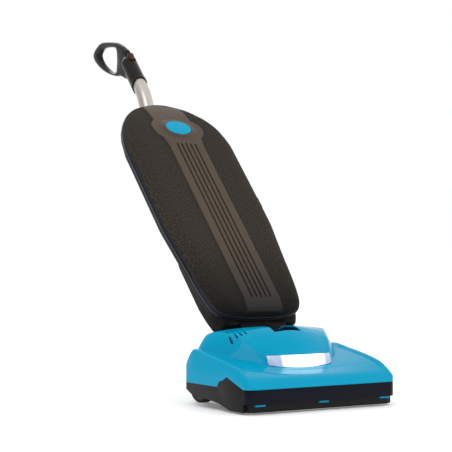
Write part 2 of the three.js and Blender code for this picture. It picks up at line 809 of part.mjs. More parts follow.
/** Scroll housing round the fan: its eye faces outwards, its mouth faces the hollow hinge. */
function fanHousing() {
  const x0 = FAN_X - FAN_LENGTH / 2 - 4;
  const x1 = FAN_X + FAN_LENGTH / 2 + 4;
  const drum = join(
    rodX(FAN_RADIUS + 6, x0, x1, HINGE_Y, HINGE_HEIGHT, 28),
    box(x0, x1, HINGE_Y - 22, HINGE_Y + 22, 22 + CLEARANCE, HINGE_HEIGHT),
  );
  return cut(
    drum,
    rodX(FAN_RADIUS + 3, x0 + 3, x1 - 3, HINGE_Y, HINGE_HEIGHT, 28),
    rodX(16, x0 - 1, x0 + 5, HINGE_Y, HINGE_HEIGHT, 20),
    rodX(20, x1 - 5, x1 + 1, HINGE_Y, HINGE_HEIGHT, 20),
  );
}

/** Duct from the brush chamber back and round into the eye of the fan. */
function suctionDuct() {
  const eyeX = FAN_X - FAN_LENGTH / 2 - 4 - CLEARANCE;
  const front = BRUSH_Y + CHAMBER_RADIUS + WALL + 2;
  const outer = join(
    rodY(DUCT_BORE + WALL, DUCT_X, front, HINGE_Y, DUCT_HEIGHT, 20),
    rodX(DUCT_BORE + WALL, DUCT_X - 12, eyeX, HINGE_Y, HINGE_HEIGHT, 20),
    box(DUCT_X - 12, DUCT_X + 12, HINGE_Y - 20, HINGE_Y + 6, 32, HINGE_HEIGHT),
  );
  const inner = join(
    rodY(DUCT_BORE, DUCT_X, front - 10, HINGE_Y, DUCT_HEIGHT, 16),
    rodX(DUCT_BORE - 1, DUCT_X - 9, eyeX + 5, HINGE_Y, HINGE_HEIGHT, 16),
  );
  return cut(outer, inner);
}

function rotor() {
  const armature = rodX(23, MOTOR_X - 24, MOTOR_X + 20, HINGE_Y, HINGE_HEIGHT, 24);
  const shaft = rodX(
    SHAFT_RADIUS,
    FAN_X - FAN_LENGTH / 2 - 2,
    PULLEY_X + BELT_PULLEY_WIDTH / 2 + 2,
    HINGE_Y,
    HINGE_HEIGHT,
    16,
  );
  return join(armature, shaft);
}

/** Fan wheel: a back plate with curved blades, bored for the shaft. */
function fanWheel() {
  const x0 = FAN_X - FAN_LENGTH / 2 + 1;
  const x1 = FAN_X + FAN_LENGTH / 2 - 1;
  const hub = rodX(9, x0, x1, HINGE_Y, HINGE_HEIGHT, 16);
  const plate = rodX(FAN_RADIUS, x1 - 2.5, x1, HINGE_Y, HINGE_HEIGHT, 24);
  const blades = [];
  const count = 8;
  for (let i = 0; i < count; i++) {
    const blade = new THREE.BoxGeometry(FAN_LENGTH - 4, FAN_RADIUS - 11, 2);
    blade.translate(FAN_X, 10 + (FAN_RADIUS - 11) / 2 - 0.5, 3);
    blade.rotateX((2 * Math.PI * i) / count);
    blade.translate(0, HINGE_Y, HINGE_HEIGHT);
    blades.push(solid(blade));
  }
  const bore = rodX(SHAFT_RADIUS + CLEARANCE, x0 - 5, x1 + 5, HINGE_Y, HINGE_HEIGHT, 16);
  return cut(join(hub, plate, ...blades), bore);
}

/** A flanged pulley with a bore, on an axis parallel to X. */
function pulley(radius, bore, y, z) {
  const w = BELT_PULLEY_WIDTH / 2;
  const x = PULLEY_X;
  return latheX(
    [
      [bore, x - w],
      [radius + 3, x - w],
      [radius + 3, x - w + 0.8],
      [radius, x - w + 0.8],
      [radius, x + w - 0.8],
      [radius + 3, x + w - 0.8],
      [radius + 3, x + w],
      [bore, x + w],
      [bore, x - w],
    ],
    y,
    z,
    20,
  );
}

/** Flat belt round both pulleys, as a closed loop. */
function belt() {
  const from = new THREE.Vector2(HINGE_Y, HINGE_HEIGHT);
  const to = new THREE.Vector2(BRUSH_Y, BRUSH_HEIGHT);
  const loop = (grow) => {
    const r1 = PULLEY_RADIUS + RUNNING + grow;
    const r2 = BRUSH_PULLEY_RADIUS + RUNNING + grow;
    const line = new THREE.Vector2().subVectors(to, from);
    const lean = Math.atan2(line.y, line.x);
    const spread = Math.acos((r1 - r2) / line.length());
    const points = [];
    const steps = 10;
    const arc = (centre, r, a0, a1) => {
      for (let i = 0; i <= steps; i++) {
        const a = a0 + ((a1 - a0) * i) / steps;
        points.push(new THREE.Vector2(centre.x + r * Math.cos(a), centre.y + r * Math.sin(a)));
      }
    };
    arc(from, r1, lean + spread, lean + 2 * Math.PI - spread);
    arc(to, r2, lean - spread, lean + spread);
    return points;
  };
  const outline = new THREE.Shape(loop(BELT_THICKNESS));
  outline.holes.push(new THREE.Path(loop(0)));
  return prismX(outline, PULLEY_X - BELT_WIDTH / 2, PULLEY_X + BELT_WIDTH / 2);
}

// ---------------------------------------------------------------- head: brush roll

function brushCore() {
  const core = join(
    rodX(BRUSH_CORE_RADIUS, BRUSH_END, BRUSH_END + BRUSH_LENGTH, BRUSH_Y, BRUSH_HEIGHT, 20),
    rodX(5, bearingSpan(-1)[0] + 2, bearingSpan(1)[1] - 1.5, BRUSH_Y, BRUSH_HEIGHT, 12),
  );
  const slack = 1.6;
  const grooves = [0, Math.PI].map((turn) => bristleRow(turn, BRUSH_CORE_RADIUS - 5, 30, 6 + slack));
  return cut(core, ...grooves);
}

/** A row of bristle that twists from both ends towards the middle of the core, as one strip. */
function bristleRow(turn, inner, outer, width) {
  const x0 = BRUSH_END + 6;
  const x1 = BRUSH_END + BRUSH_LENGTH - 6;
  const steps = 12;
  const twist = 1.6;
  const strip = new THREE.BoxGeometry(x1 - x0, outer - inner, width, steps, 1, 1);
  strip.translate((x0 + x1) / 2, (outer + inner) / 2, 0);
  const place = strip.attributes.position;
  const point = new THREE.Vector3();
  const axis = new THREE.Vector3(1, 0, 0);
  for (let i = 0; i < place.count; i++) {
    point.fromBufferAttribute(place, i);
    const share = (2 * Math.abs(point.x - BRUSH_CENTRE_X)) / BRUSH_LENGTH;
    point.applyAxisAngle(axis, turn + twist * share);
    place.setXYZ(i, point.x, point.y + BRUSH_Y, point.z + BRUSH_HEIGHT);
  }
  return solid(strip);
}

function bristles(turn) {
  return bristleRow(turn, BRUSH_CORE_RADIUS - 4.4, BRISTLE_RADIUS, 6);
}

/** Where the bearing block at one end of the brush starts and stops along X. */
function bearingSpan(side) {
  const wall = CHAMBER_END - WALL - CLEARANCE;
  return side < 0 ? [-wall, BRUSH_END - 1] : [PULLEY_X + BELT_PULLEY_WIDTH / 2 + 1, wall];
}

/** Bearing block that carries one end of the brush roll. */
function brushBearing(side) {
  const [x0, x1] = bearingSpan(side);
  const block = box(x0, x1, BRUSH_Y - 14, BRUSH_Y + 14, BRUSH_HEIGHT - 14, BRUSH_HEIGHT + 14);
  const bore = side < 0 ? [x0 + 1.2, x1 + 1] : [x0 - 1, x1 - 0.8];
  return cut(block, rodX(5 + RUNNING, bore[0], bore[1], BRUSH_Y, BRUSH_HEIGHT, 12));
}

// ---------------------------------------------------------------- running gear

function wheelHub(side) {
  const x0 = side > 0 ? WHEEL_INNER_X : -WHEEL_INNER_X - WHEEL_WIDTH;
  const x1 = x0 + WHEEL_WIDTH;
  const rim = WHEEL_RADIUS - TYRE_THICKNESS - CLEARANCE;
  const bore = AXLE_RADIUS + RUNNING;
  return latheX(
    [
      [bore, x0],
      [11, x0],
      [12, x0 + 7],
      [rim - 4, x0 + 7],
      [rim, x0 + 1],
      [rim, x1 - 1],
      [rim - 4, x1 - 7],
      [12, x1 - 7],
      [11, x1],
      [bore, x1],
      [bore, x0],
    ],
    AXLE_Y,
    WHEEL_RADIUS,
    20,
  );
}

function tyre(side) {
  const x0 = side > 0 ? WHEEL_INNER_X : -WHEEL_INNER_X - WHEEL_WIDTH;
  const x1 = x0 + WHEEL_WIDTH;
  const inner = WHEEL_RADIUS - TYRE_THICKNESS;
  return latheX(
    [
      [inner, x0 + 1],
      [WHEEL_RADIUS - 2, x0],
      [WHEEL_RADIUS, x0 + 3],
      [WHEEL_RADIUS, x1 - 3],
      [WHEEL_RADIUS - 2, x1],
      [inner, x1 - 1],
      [inner, x0 + 1],
    ],
    AXLE_Y,
    WHEEL_RADIUS,
    28,
  );
}

function axle() {
  const end = WHEEL_INNER_X + WHEEL_WIDTH + 1;
  const rod = rodX(AXLE_RADIUS, -end, end, AXLE_Y, WHEEL_RADIUS, 14);
  const shoulders = [-1, 1].map((side) => {
    const x = side * (WHEEL_INNER_X - 2);
    return rodX(8, x - 1, x + 1, AXLE_Y, WHEEL_RADIUS, 14);
  });
  return join(rod, ...shoulders);
}

/** Push-on cap that keeps a rear wheel on its axle. */
function wheelCap(side) {
  const face = WHEEL_INNER_X + WHEEL_WIDTH + RUNNING;
  const x0 = side > 0 ? face : -face - 4;
  const cap = rodX(10, x0, x0 + 4, AXLE_Y, WHEEL_RADIUS, 16);
  const blind = side > 0 ? [x0 - 1, x0 + 2] : [x0 + 2, x0 + 5];
  return cut(cap, rodX(AXLE_RADIUS + CLEARANCE, blind[0], blind[1], AXLE_Y, WHEEL_RADIUS, 14));
}

function roller(side) {
  const x = side * ROLLER_X;
  return cut(
    rodX(ROLLER_RADIUS, x - ROLLER_WIDTH / 2, x + ROLLER_WIDTH / 2, ROLLER_Y, ROLLER_RADIUS, 20),
    rodX(2.5 + RUNNING, x - ROLLER_WIDTH, x + ROLLER_WIDTH, ROLLER_Y, ROLLER_RADIUS, 12),
  );
}

function rollerPin(side) {
  const x = side * ROLLER_X;
  return rodX(2.3, x - 14, x + 14, ROLLER_Y, ROLLER_RADIUS, 10);
}

// ---------------------------------------------------------------- foot pedal

function pedal() {
  const clear = WHEEL_RADIUS + AXLE_RADIUS + 9;
  const arm = prismX(
    shapeOf([
      [PEDAL_Y - 6, PEDAL_Z - 5],
      [PEDAL_Y + 5, PEDAL_Z - 5],
      [PEDAL_Y + 22, clear - 1],
      [PEDAL_Y + 58, clear + 3],
      [PEDAL_Y + 58, clear + 9],
      [PEDAL_Y + 20, clear + 5],
      [PEDAL_Y + 2, PEDAL_Z + 6],
      [PEDAL_Y - 6, PEDAL_Z + 6],
    ]),
    PEDAL_X - PEDAL_HALF_WIDTH,
    PEDAL_X + PEDAL_HALF_WIDTH,
  );
  const bore = PEDAL_PIN_RADIUS + CLEARANCE;
  return cut(arm, rodX(bore, PEDAL_X - 20, PEDAL_X + 20, PEDAL_Y, PEDAL_Z, 12));
}

function pedalPin() {
  const half = PEDAL_HALF_WIDTH + 7;
  return rodX(PEDAL_PIN_RADIUS, PEDAL_X - half, PEDAL_X + half, PEDAL_Y, PEDAL_Z, 12);
}

/** Return spring of the pedal, as the closed stack of its coils. */
function pedalSpring() {
  const coils = 3;
  const low = 22 + CLEARANCE;
  const top = PEDAL_Z - 5 - CLEARANCE;
  const pitch = (top - low) / coils;
  const profile = [[2.2, low]];
  for (let i = 0; i < coils; i++) {
    profile.push([4, low + pitch * (i + 0.1)]);
    profile.push([5.2, low + pitch * (i + 0.5)]);
    profile.push([4, low + pitch * (i + 0.9)]);
  }
  profile.push([2.2, top]);
  profile.push([2.2, low]);
  return latheZ(profile, PEDAL_X, PEDAL_Y + 1, 10);
}

// ---------------------------------------------------------------- handle frame: neck

/** Hollow neck: a barrel that turns in the brackets, an arm, and a yoke under the housing. */
function neck() {
  const halfX = NECK_WIDTH / 2;
  const barrelEnd = BRACKET_X + BRACKET_WIDTH / 2;
  const top = BAG_BOTTOM_H - 1 - CLEARANCE;
  const barrel = rodX(BARREL_RADIUS, -barrelEnd, barrelEnd, 0, 0, 24);
  const arm = box(-halfX, halfX, -NECK_DEPTH / 2, NECK_DEPTH / 2, 0, top);
  const yoke = box(-YOKE_HALF, YOKE_HALF, -NECK_DEPTH / 2, YOKE_BACK_B, top - 19, top);
  const spigot = rodZ(SPIGOT_RADIUS, 0, SPIGOT_B, top - 1, BAG_BOTTOM_H + 22, 20);
  return cut(
    join(barrel, arm, yoke, spigot),
    rodX(BARREL_RADIUS - 4, -barrelEnd - 1, barrelEnd + 1, 0, 0, 20),
    rodZ(SPIGOT_RADIUS - 2, 0, SPIGOT_B, 10, BAG_BOTTOM_H + 30, 16),
  );
}

function hingeBush(side) {
  const x0 = side * BRACKET_X - BRACKET_WIDTH / 2;
  return cut(
    rodX(BARREL_RADIUS + 5 - CLEARANCE, x0, x0 + BRACKET_WIDTH, HINGE_Y, HINGE_HEIGHT, 28),
    rodX(BARREL_RADIUS + CLEARANCE, x0 - 1, x0 + BRACKET_WIDTH + 1, HINGE_Y, HINGE_HEIGHT, 28),
  );
}

// ---------------------------------------------------------------- handle frame: bag housing

/** The housing's outline from its bottom to its top: how far it stands in from its widest, and h. */
const HOUSING_INSET = [
  [97, 129],
  [70, 133],
  [43, 143.5],
  [30, 158],
  [23, 183],
  [16.5, 228],
  [12, 278],
  [6, 335],
  [0.5, 391],
  [0, 465],
  [0, 617],
  [7, 665],
  [14.5, 690],
  [27, 713],
  [45, 733],
  [69, 750],
  [101, 761],
];

function halfOutline(insets) {
  return insets.map(([inset, h]) => new THREE.Vector2(BAG_HALF_WIDTH - inset, h));
}

function housingOutline(inset) {
  const half = halfOutline(HOUSING_INSET);
  const right = [new THREE.Vector2(0, BAG_BOTTOM_H - 1), ...half];
  const left = [new THREE.Vector2(0, BAG_TOP_H), ...half.map((p) => new THREE.Vector2(-p.x, p.y)).reverse()];
  return offsetRing([...right, ...left], inset);
}

function housingShape(inset) {
  return new THREE.Shape(housingOutline(inset));
}

/** The battery bulge's outline in the same way. */
const BULGE_INSET = [
  [57, 117],
  [46, 124],
  [38, 140],
  [33, 162],
  [29, 195],
  [28, 310],
  [32, 335],
  [43, 352],
  [59, 358],
];
const BULGE_FRONT_B = -17;
const BULGE_ROUND = 9;
const SEAT_HALF = 62; // solid floor of the shell where the neck's yoke is fixed

/** Front line of the cover in (b, h), from the bottom to the top of the housing. */
const COVER_LINE = [
  [ZIP_B, 128],
  [-38, 134],
  [-45, 146],
  [COVER_FRONT_B, 163],
  [COVER_FRONT_B, 600],
  [-47.4, 640],
  [-44.5, 672],
  [-39.5, 702],
  [-33, 732],
  [ZIP_B, 767],
];

/** A slab that follows the cover's front line, between two distances in front of it. */
function frontSlab(near, far, h0, h1, halfWidth, x = 0) {
  const inside = COVER_LINE.filter(([, h]) => h > h0 && h < h1);
  const at = (h) => along(COVER_LINE.map(([b, k]) => [k, b]), h);
  const line = [[at(h0), h0], ...inside, [at(h1), h1]];
  const shape = [
    ...line.map(([b, h]) => [b - far, h]),
    ...line.map(([b, h]) => [b - near, h]).reverse(),
  ];
  return prismX(shapeOf(shape), x - halfWidth, x + halfWidth);
}

/** The padded front of the housing, open at the back. */
function cover() {
  const rim = ZIP_B - ZIP_WIDTH / 2;
  const round = { thickness: 24, size: COVER_ROUND, steps: 4 };
  const behindLine = (offset) =>
    prismX(
      shapeOf([...COVER_LINE.map(([b, h]) => [b + offset, h]), [60, BAG_TOP_H + 1], [60, BAG_BOTTOM_H - 1]]),
      -200,
      200,
    );
  const outer = prismY(housingShape(0), COVER_FRONT_B, 60, 6, round).intersect(behindLine(0));
  const inner = prismY(housingShape(COVER_WALL), COVER_FRONT_B + COVER_WALL, 70, 6, round).intersect(
    behindLine(COVER_WALL),
  );
  return cut(outer, inner, box(-200, 200, rim, 100, 0, 900));
}

function zipTape() {
  return cut(
    prismY(housingShape(-1), ZIP_B - ZIP_WIDTH / 2 + CLEARANCE, ZIP_B + ZIP_WIDTH / 2 - CLEARANCE),
    prismY(housingShape(COVER_WALL), ZIP_B - 10, ZIP_B + 10),
  );
}

/** A block with a rounded outline that swells out of the housing's back, for the battery. */
function bulge(inset) {
  const right = halfOutline(BULGE_INSET);
  const left = right.map((p) => new THREE.Vector2(-p.x, p.y)).reverse();
  const ring = offsetRing([...right, ...left], inset);
  return prismY(new THREE.Shape(ring), BULGE_FRONT_B + inset, POD_BACK_B - 1 - inset, 6, {
    thickness: BULGE_ROUND - inset,
    size: BULGE_ROUND - inset,
    steps: 3,
  });
}

/** The rigid back of the housing with the battery bay and the socket for the tube. */
function rearShell() {
  const rim = ZIP_B + ZIP_WIDTH / 2;
  const round = { thickness: BACK_ROUND, size: BACK_ROUND, steps: 3 };
  const front = box(-200, 200, -100, rim, 0, 900);
  const outer = prismY(housingShape(0), -60, BACK_B, 6, round);
  const inner = prismY(housingShape(SHELL_WALL), -70, BACK_B - SHELL_WALL, 6, round);
  const seat = box(-SEAT_HALF, SEAT_HALF, -40, 40, 100, BAG_BOTTOM_H + WALL);
  const hollow = cut(join(inner, bulge(SHELL_WALL)), seat);
  const pocketHalf = BATTERY_WIDTH / 2 + CLEARANCE;
  const pocketFront = POD_BACK_B - BATTERY_THICKNESS - CLEARANCE;
  const pocketTop = BATTERY_BOTTOM_H + BATTERY_LENGTH + CLEARANCE;
  const tray = box(
    -pocketHalf - WALL,
    pocketHalf + WALL,
    pocketFront - WALL,
    POD_BACK_B - 2,
    BATTERY_BOTTOM_H - CLEARANCE - WALL,
    pocketTop + WALL,
  );
  const pocket = box(-pocketHalf, pocketHalf, pocketFront, 100, BATTERY_BOTTOM_H - CLEARANCE, pocketTop);
  const socket = box(-22, 22, BACK_B - 2, TUBE_B + 20, TUBE_BOTTOM_H - 6, TUBE_BOTTOM_H + 74);
  const shell = cut(join(outer, bulge(0)), hollow, front);
  const yokeSeat = box(
    -YOKE_HALF - CLEARANCE,
    YOKE_HALF + CLEARANCE,
    -NECK_DEPTH / 2 - CLEARANCE,
    YOKE_BACK_B + CLEARANCE,
    90,
    BAG_BOTTOM_H - 1,
  );
  return cut(
    join(shell, tray, socket),
    pocket,
    yokeSeat,
    rodZ(TUBE_RADIUS + CLEARANCE, 0, TUBE_B, TUBE_BOTTOM_H - CLEARANCE, TUBE_BOTTOM_H + 100, 20),
    rodZ(SPIGOT_RADIUS + CLEARANCE, 0, SPIGOT_B, BAG_BOTTOM_H - 20, BAG_BOTTOM_H + 10, 20),
  );
}

function spine() {
  const plate = join(
    prismY(shapeOf(stripOutline()), -100, 0),
    prismY(ellipse(FLANGE_RX, FLANGE_RZ, BADGE_H), -100, 0),
  ).intersect(frontSlab(CLEARANCE, SPINE_THICKNESS + CLEARANCE, 146, 725, 100));
  const grooves = [];
  for (let i = 0; i < SPINE_GROOVES; i++) {
    const x = (i - (SPINE_GROOVES - 1) / 2) * GROOVE_PITCH;
    grooves.push(frontSlab(SPINE_THICKNESS - 1, 9, 162, 612, GROOVE_WIDTH / 2, x));
  }
  return cut(plate, ...grooves);
}

/** The strip's outline: straight, widening into the flange round the badge. */
function stripOutline() {
  const w = SPINE_HALF_WIDTH;
  return [
    [-w + 6, 148],
    [w - 6, 148],
    [w, 156],
    [w, 600],
    [w + 6, 660],
    [w + 2, 700],
    [-w - 2, 700],
    [-w - 6, 660],
    [-w, 600],
    [-w, 156],
  ];
}

const RING_GROW = 10; // width of the raised ring round the badge

function badgeRing() {
  const outer = prismY(ellipse(BADGE_RX + RING_GROW, BADGE_RZ + RING_GROW - 3, BADGE_H), -100, 0);
  const inner = prismY(ellipse(BADGE_RX + CLEARANCE, BADGE_RZ + CLEARANCE, BADGE_H), -110, 10);
  const near = SPINE_THICKNESS + 2 * CLEARANCE;
  return cut(outer, inner).intersect(frontSlab(near, near + 2.4, 600, 740, 90));
}

function badge() {
  const near = SPINE_THICKNESS + 2 * CLEARANCE;
  return prismY(ellipse(BADGE_RX, BADGE_RZ, BADGE_H), -100, 0).intersect(
    frontSlab(near, near + 1.6, 600, 740, 90),
  );
}

const ZIP_FACE = BAG_HALF_WIDTH + 1.4 + CLEARANCE; // outer face of the zip's tape

function zipSlider() {
  return join(
    box(ZIP_FACE, ZIP_FACE + 2, ZIP_B - 5, ZIP_B + 5, 462, 480),
    box(ZIP_FACE + 1.5, ZIP_FACE + 3.2, ZIP_B - 1.6, ZIP_B + 1.6, 466, 476),
  );
}

function zipPull() {
  return cut(
    box(ZIP_FACE + 3.5, ZIP_FACE + 4.7, ZIP_B - 4, ZIP_B + 4, 444, 474),
    box(ZIP_FACE + 3, ZIP_FACE + 5.2, ZIP_B - 2, ZIP_B + 2, 448, 458),
  );
}

// ---------------------------------------------------------------- handle frame: bag, battery

/** Disposable bag, a thin sack with its card collar at the bottom. */
function dustBag() {
  const sack = (inset) => {
    const shape = new THREE.Shape();
    const w = 92 - inset;
    const low = BAG_INLET_H + inset;
    const high = 655 - inset;
    const r = 30 - inset;
    shape.moveTo(-w + r, low);
    shape.lineTo(w - r, low);
    shape.absarc(w - r, low + r, r, -Math.PI / 2, 0);
    shape.lineTo(w, high - r);
    shape.absarc(w - r, high - r, r, 0, Math.PI / 2);
    shape.lineTo(-w + r, high);
    shape.absarc(-w + r, high - r, r, Math.PI / 2, Math.PI);
    shape.lineTo(-w, low + r);
    shape.absarc(-w + r, low + r, r, Math.PI, 1.5 * Math.PI);
    return shape;
  };
  const round = { thickness: 12, size: 14, steps: 2 };
  const outer = prismY(sack(0), -41, -10.5, 3, round);
  const inner = prismY(sack(1.5), -39.5, -12, 3, round);
  const inlet = rodZ(11, 0, BAG_INLET_B, BAG_INLET_H - 10, BAG_INLET_H + 15, 14);
  return cut(outer, inner, inlet);
}

/** Elbow that carries the air from the neck's spigot up into the bag. */
function bagCollar() {
  const low = BAG_BOTTOM_H + 22 + CLEARANCE;
  const outer = join(
    box(-22, 22, -36, 4, low, low + 8),
    rodZ(13, 0, BAG_INLET_B, low, BAG_INLET_H - CLEARANCE, 16),
  );
  const inner = join(
    rodZ(SPIGOT_RADIUS - 1, 0, BAG_INLET_B, low + 3, BAG_INLET_H + 5, 14),
    rodZ(SPIGOT_RADIUS - 2, 0, SPIGOT_B, low - 5, low + 5, 14),
    box(-7, 7, BAG_INLET_B, SPIGOT_B, low + 2, low + 5),
  );
  return cut(outer, inner);
}

function battery() {
  const b0 = POD_BACK_B - BATTERY_THICKNESS;
  const top = BATTERY_BOTTOM_H + BATTERY_LENGTH;
  const round = { thickness: 4, size: 4, steps: 2 };
  const w = BATTERY_WIDTH / 2;
  const body = prismY(
    shapeOf([
      [-w, BATTERY_BOTTOM_H],
      [w, BATTERY_BOTTOM_H],
      [w, top],
      [-w, top],
    ]),
    b0,
    POD_BACK_B,
    4,
    round,
  );
  const hold = box(-30, 30, POD_BACK_B - 9, POD_BACK_B + 5, BATTERY_BOTTOM_H + 20, BATTERY_BOTTOM_H + 36);
  const buttonSlot = box(
    -BUTTON_HALF - CLEARANCE,
    BUTTON_HALF + CLEARANCE,
    POD_BACK_B - 8,
    POD_BACK_B + 5,
    top - 26 - CLEARANCE,
    top - 12 + CLEARANCE,
  );
  return cut(body, hold, buttonSlot);
}

/** Button that frees the battery when it is pressed in. */
function batteryButton() {
  const top = BATTERY_BOTTOM_H + BATTERY_LENGTH;
  return box(-BUTTON_HALF, BUTTON_HALF, POD_BACK_B - 4, POD_BACK_B + 1.5, top - 26, top - 12);
}

// ---------------------------------------------------------------- handle frame: tube and grip

/** Bent tube: straight up the back, two bends that bring it forward over the housing, straight again. */
function handleTube() {
  const lean = (BEND_LOW_H + BEND_HIGH_H) / 2;
  const spread = 14;
  const bend = new THREE.CurvePath();
  const at = (b, h) => new THREE.Vector3(0, b, h);
  const step = (TUBE_B - GRIP_B) / (BEND_HIGH_H - BEND_LOW_H);
  const onSlope = (h) => at(TUBE_B - step * (h - BEND_LOW_H), h);
  const start = at(TUBE_B, BEND_LOW_H - spread);
  const finish = at(GRIP_B, BEND_HIGH_H + spread);
  bend.add(new THREE.QuadraticBezierCurve3(start, at(TUBE_B, BEND_LOW_H), onSlope(lean)));
  bend.add(new THREE.QuadraticBezierCurve3(onSlope(lean), at(GRIP_B, BEND_HIGH_H), finish));
  const ring = (radius, wayRound) => new THREE.Path().absarc(0, 0, radius, 0, 2 * Math.PI, wayRound);
  const section = new THREE.Shape(ring(TUBE_RADIUS, false).getPoints(8).slice(0, -1));
  section.holes.push(new THREE.Path(ring(TUBE_RADIUS - TUBE_WALL, true).getPoints(8).slice(0, -1)));
  const geometry = new THREE.ExtrudeGeometry(section, { steps: 12, extrudePath: bend });
  const straight = (b, h0, h1) =>
    latheZ(
      [
        [TUBE_RADIUS - TUBE_WALL, h0],
        [TUBE_RADIUS, h0],
        [TUBE_RADIUS, h1],
        [TUBE_RADIUS - TUBE_WALL, h1],
        [TUBE_RADIUS - TUBE_WALL, h0],
      ],
      0,
      b,
      16,
    );
  return join(
    straight(TUBE_B, TUBE_BOTTOM_H, start.z + 0.5),
    solid(geometry),
    straight(GRIP_B, finish.z - 0.5, TUBE_TOP_H),
  );
}

/** Everything below the sleeve's slanting end, moved up by rise. */
function belowSlant(rise) {
  const end = (b) => COLLAR_H + rise - COLLAR_SLANT * (b - GRIP_B);
  return prismX(
    shapeOf([
      [-60, 700],
      [60, 700],
      [60, end(60)],
      [-60, end(-60)],
    ]),
    -60,
    60,
  );
}

function collar() {
  const ring = cut(
    rodZ(GRIP_RADIUS + 1, 0, GRIP_B, COLLAR_H - 30, COLLAR_H + 30, 24),
    rodZ(TUBE_RADIUS + CLEARANCE, 0, GRIP_B, COLLAR_H - 31, COLLAR_H + 31, 24),
    belowSlant(0),
  );
  return ring.intersect(belowSlant(COLLAR_LENGTH));
}

function tubeClamp(h) {
  const block = box(-24, 24, BACK_B + CLEARANCE, TUBE_B + 21, h, h + 22);
  return cut(block, rodZ(TUBE_RADIUS + CLEARANCE, 0, TUBE_B, h - 1, h + 23, 20));
}

/** Outline of the D-shaped hand loop and the web below it, in (b, h). */
const GRIP_OUTLINE = [
  [-10, 845],
  [26, 845],
  [27, 900],
  [38.5, 935],
  [58, 956],
  [81, 986],
  [100.5, 1022],
  [112.5, 1056],
  [116, 1082],
  [108, 1093],
  [88, 1092],
  [62, 1082],
  [37, 1057],
  [12, 1024.5],
  [-8, 984],
  [-13, 958],
];
const LOOP_OPENING = [
  [58.5, 972],
  [70, 980],
  [80, 1000],
  [89.5, 1030],
  [88.5, 1063],
  [70.5, 1065.5],
  [49, 1050],
  [27, 1025],
  [21, 1013],
  [38, 992],
];
const BARREL_TOP_H = 962;
const SWITCH_H = 947;

function gripBody() {
  const width = 2 * GRIP_HALF_WIDTH;
  const round = { thickness: 5, size: 4, steps: 3 };
  const thin = { thickness: 2.5, size: 1.5, steps: 1 };
  const moved = (points, inset) =>
    offsetRing(points.map(([b, h]) => new THREE.Vector2(b, h)), inset).map((p) => [p.x, p.y]);
  const seam = COLLAR_LENGTH + 0.5;
  const loop = upright(GRIP_OUTLINE, width, round);
  const opening = upright(LOOP_OPENING, width + 4, null);
  const barrel = latheZ(
    [
      [0, COLLAR_H - 25],
      [GRIP_RADIUS, COLLAR_H - 25],
      [GRIP_RADIUS, BARREL_TOP_H - 14],
      [GRIP_RADIUS - 3, BARREL_TOP_H - 6],
      [GRIP_RADIUS - 9, BARREL_TOP_H],
      [0, BARREL_TOP_H],
    ],
    0,
    GRIP_B,
    24,
  );
  const bore = rodZ(TUBE_RADIUS + CLEARANCE, 0, GRIP_B, COLLAR_H - 40, TUBE_TOP_H + 1, 20);
  const hollow = cut(
    upright(moved(GRIP_OUTLINE, WALL), width - 2 * WALL, thin),
    upright(moved(LOOP_OPENING, -WALL), width, null),
    box(-50, 50, -60, 80, 800, BARREL_TOP_H + WALL),
  );
  return cut(join(cut(loop, opening), barrel), hollow, bore, belowSlant(seam), switchPocket());
}

function switchPocket() {
  return box(-8.5, 8.5, -30, -3, SWITCH_H - 13, SWITCH_H + 13);
}

function gripHalf(side) {
  const keep = side < 0 ? box(-60, -CLEARANCE / 2, -60, 160, 800, 1200) : box(CLEARANCE / 2, 60, -60, 160, 800, 1200);
  return gripBody().intersect(keep);
}

function rocker() {
  return prismX(
    shapeOf([
      [-15.5, SWITCH_H - 11],
      [-13.5, SWITCH_H],
      [-15.5, SWITCH_H + 11],
      [-8, SWITCH_H + 11],
      [-5, SWITCH_H],
      [-8, SWITCH_H - 11],
    ]),
    -7.5,
    7.5,
  );
}

// ---------------------------------------------------------------- assembly

const machine = new THREE.Group();

const head = new THREE.Group();
machine.add(head);
piece(head, "chassis", chassis(), "base");
piece(head, "front_bumper", bumper(), "bumper");
piece(head, "hood", hood(), "hood");
piece(head, "headlight_lens", lens(), "lens");
piece(head, "lamp_board", lampBoard(), "lamp");
piece(head, "hood_tab_left", hoodTab(-149), "hood");
piece(head, "hood_tab_middle", hoodTab(0), "hood");
piece(head, "hood_tab_right", hoodTab(149), "hood");
piece(head, "brush_plate", brushPlate(), "steel");
piece(head, "plate_latch_left", plateLatch(-1), "bumper");
piece(head, "plate_latch_right", plateLatch(1), "bumper");
piece(head, "control_board", controlBoard(), "board");
piece(head, "motor_case", motorCase(), "steel");
piece(head, "fan_housing", fanHousing(), "castAlloy");
piece(head, "suction_duct", suctionDuct(), "shell");
piece(head, "hinge_bush_left", hingeBush(-1), "nylon");
piece(head, "hinge_bush_right", hingeBush(1), "nylon");
piece(head, "drive_belt", belt(), "rubber");
piece(head, "brush_bearing_left", brushBearing(-1), "nylon");
piece(head, "brush_bearing_right", brushBearing(1), "nylon");
piece(head, "rear_axle", axle(), "steel");
piece(head, "wheel_cap_left", wheelCap(-1), "nylon");
piece(head, "wheel_cap_right", wheelCap(1), "nylon");
piece(head, "roller_pin_left", rollerPin(-1), "steel");
piece(head, "roller_pin_right", rollerPin(1), "steel");
piece(head, "pedal_pin", pedalPin(), "steel");
piece(head, "pedal_spring", pedalSpring(), "steel");

piece(head, "motor_rotor", rotor(), "steel");
piece(head, "fan_wheel", fanWheel(), "castAlloy");
piece(head, "drive_pulley", pulley(PULLEY_RADIUS, SHAFT_RADIUS + CLEARANCE, HINGE_Y, HINGE_HEIGHT), "nylon");

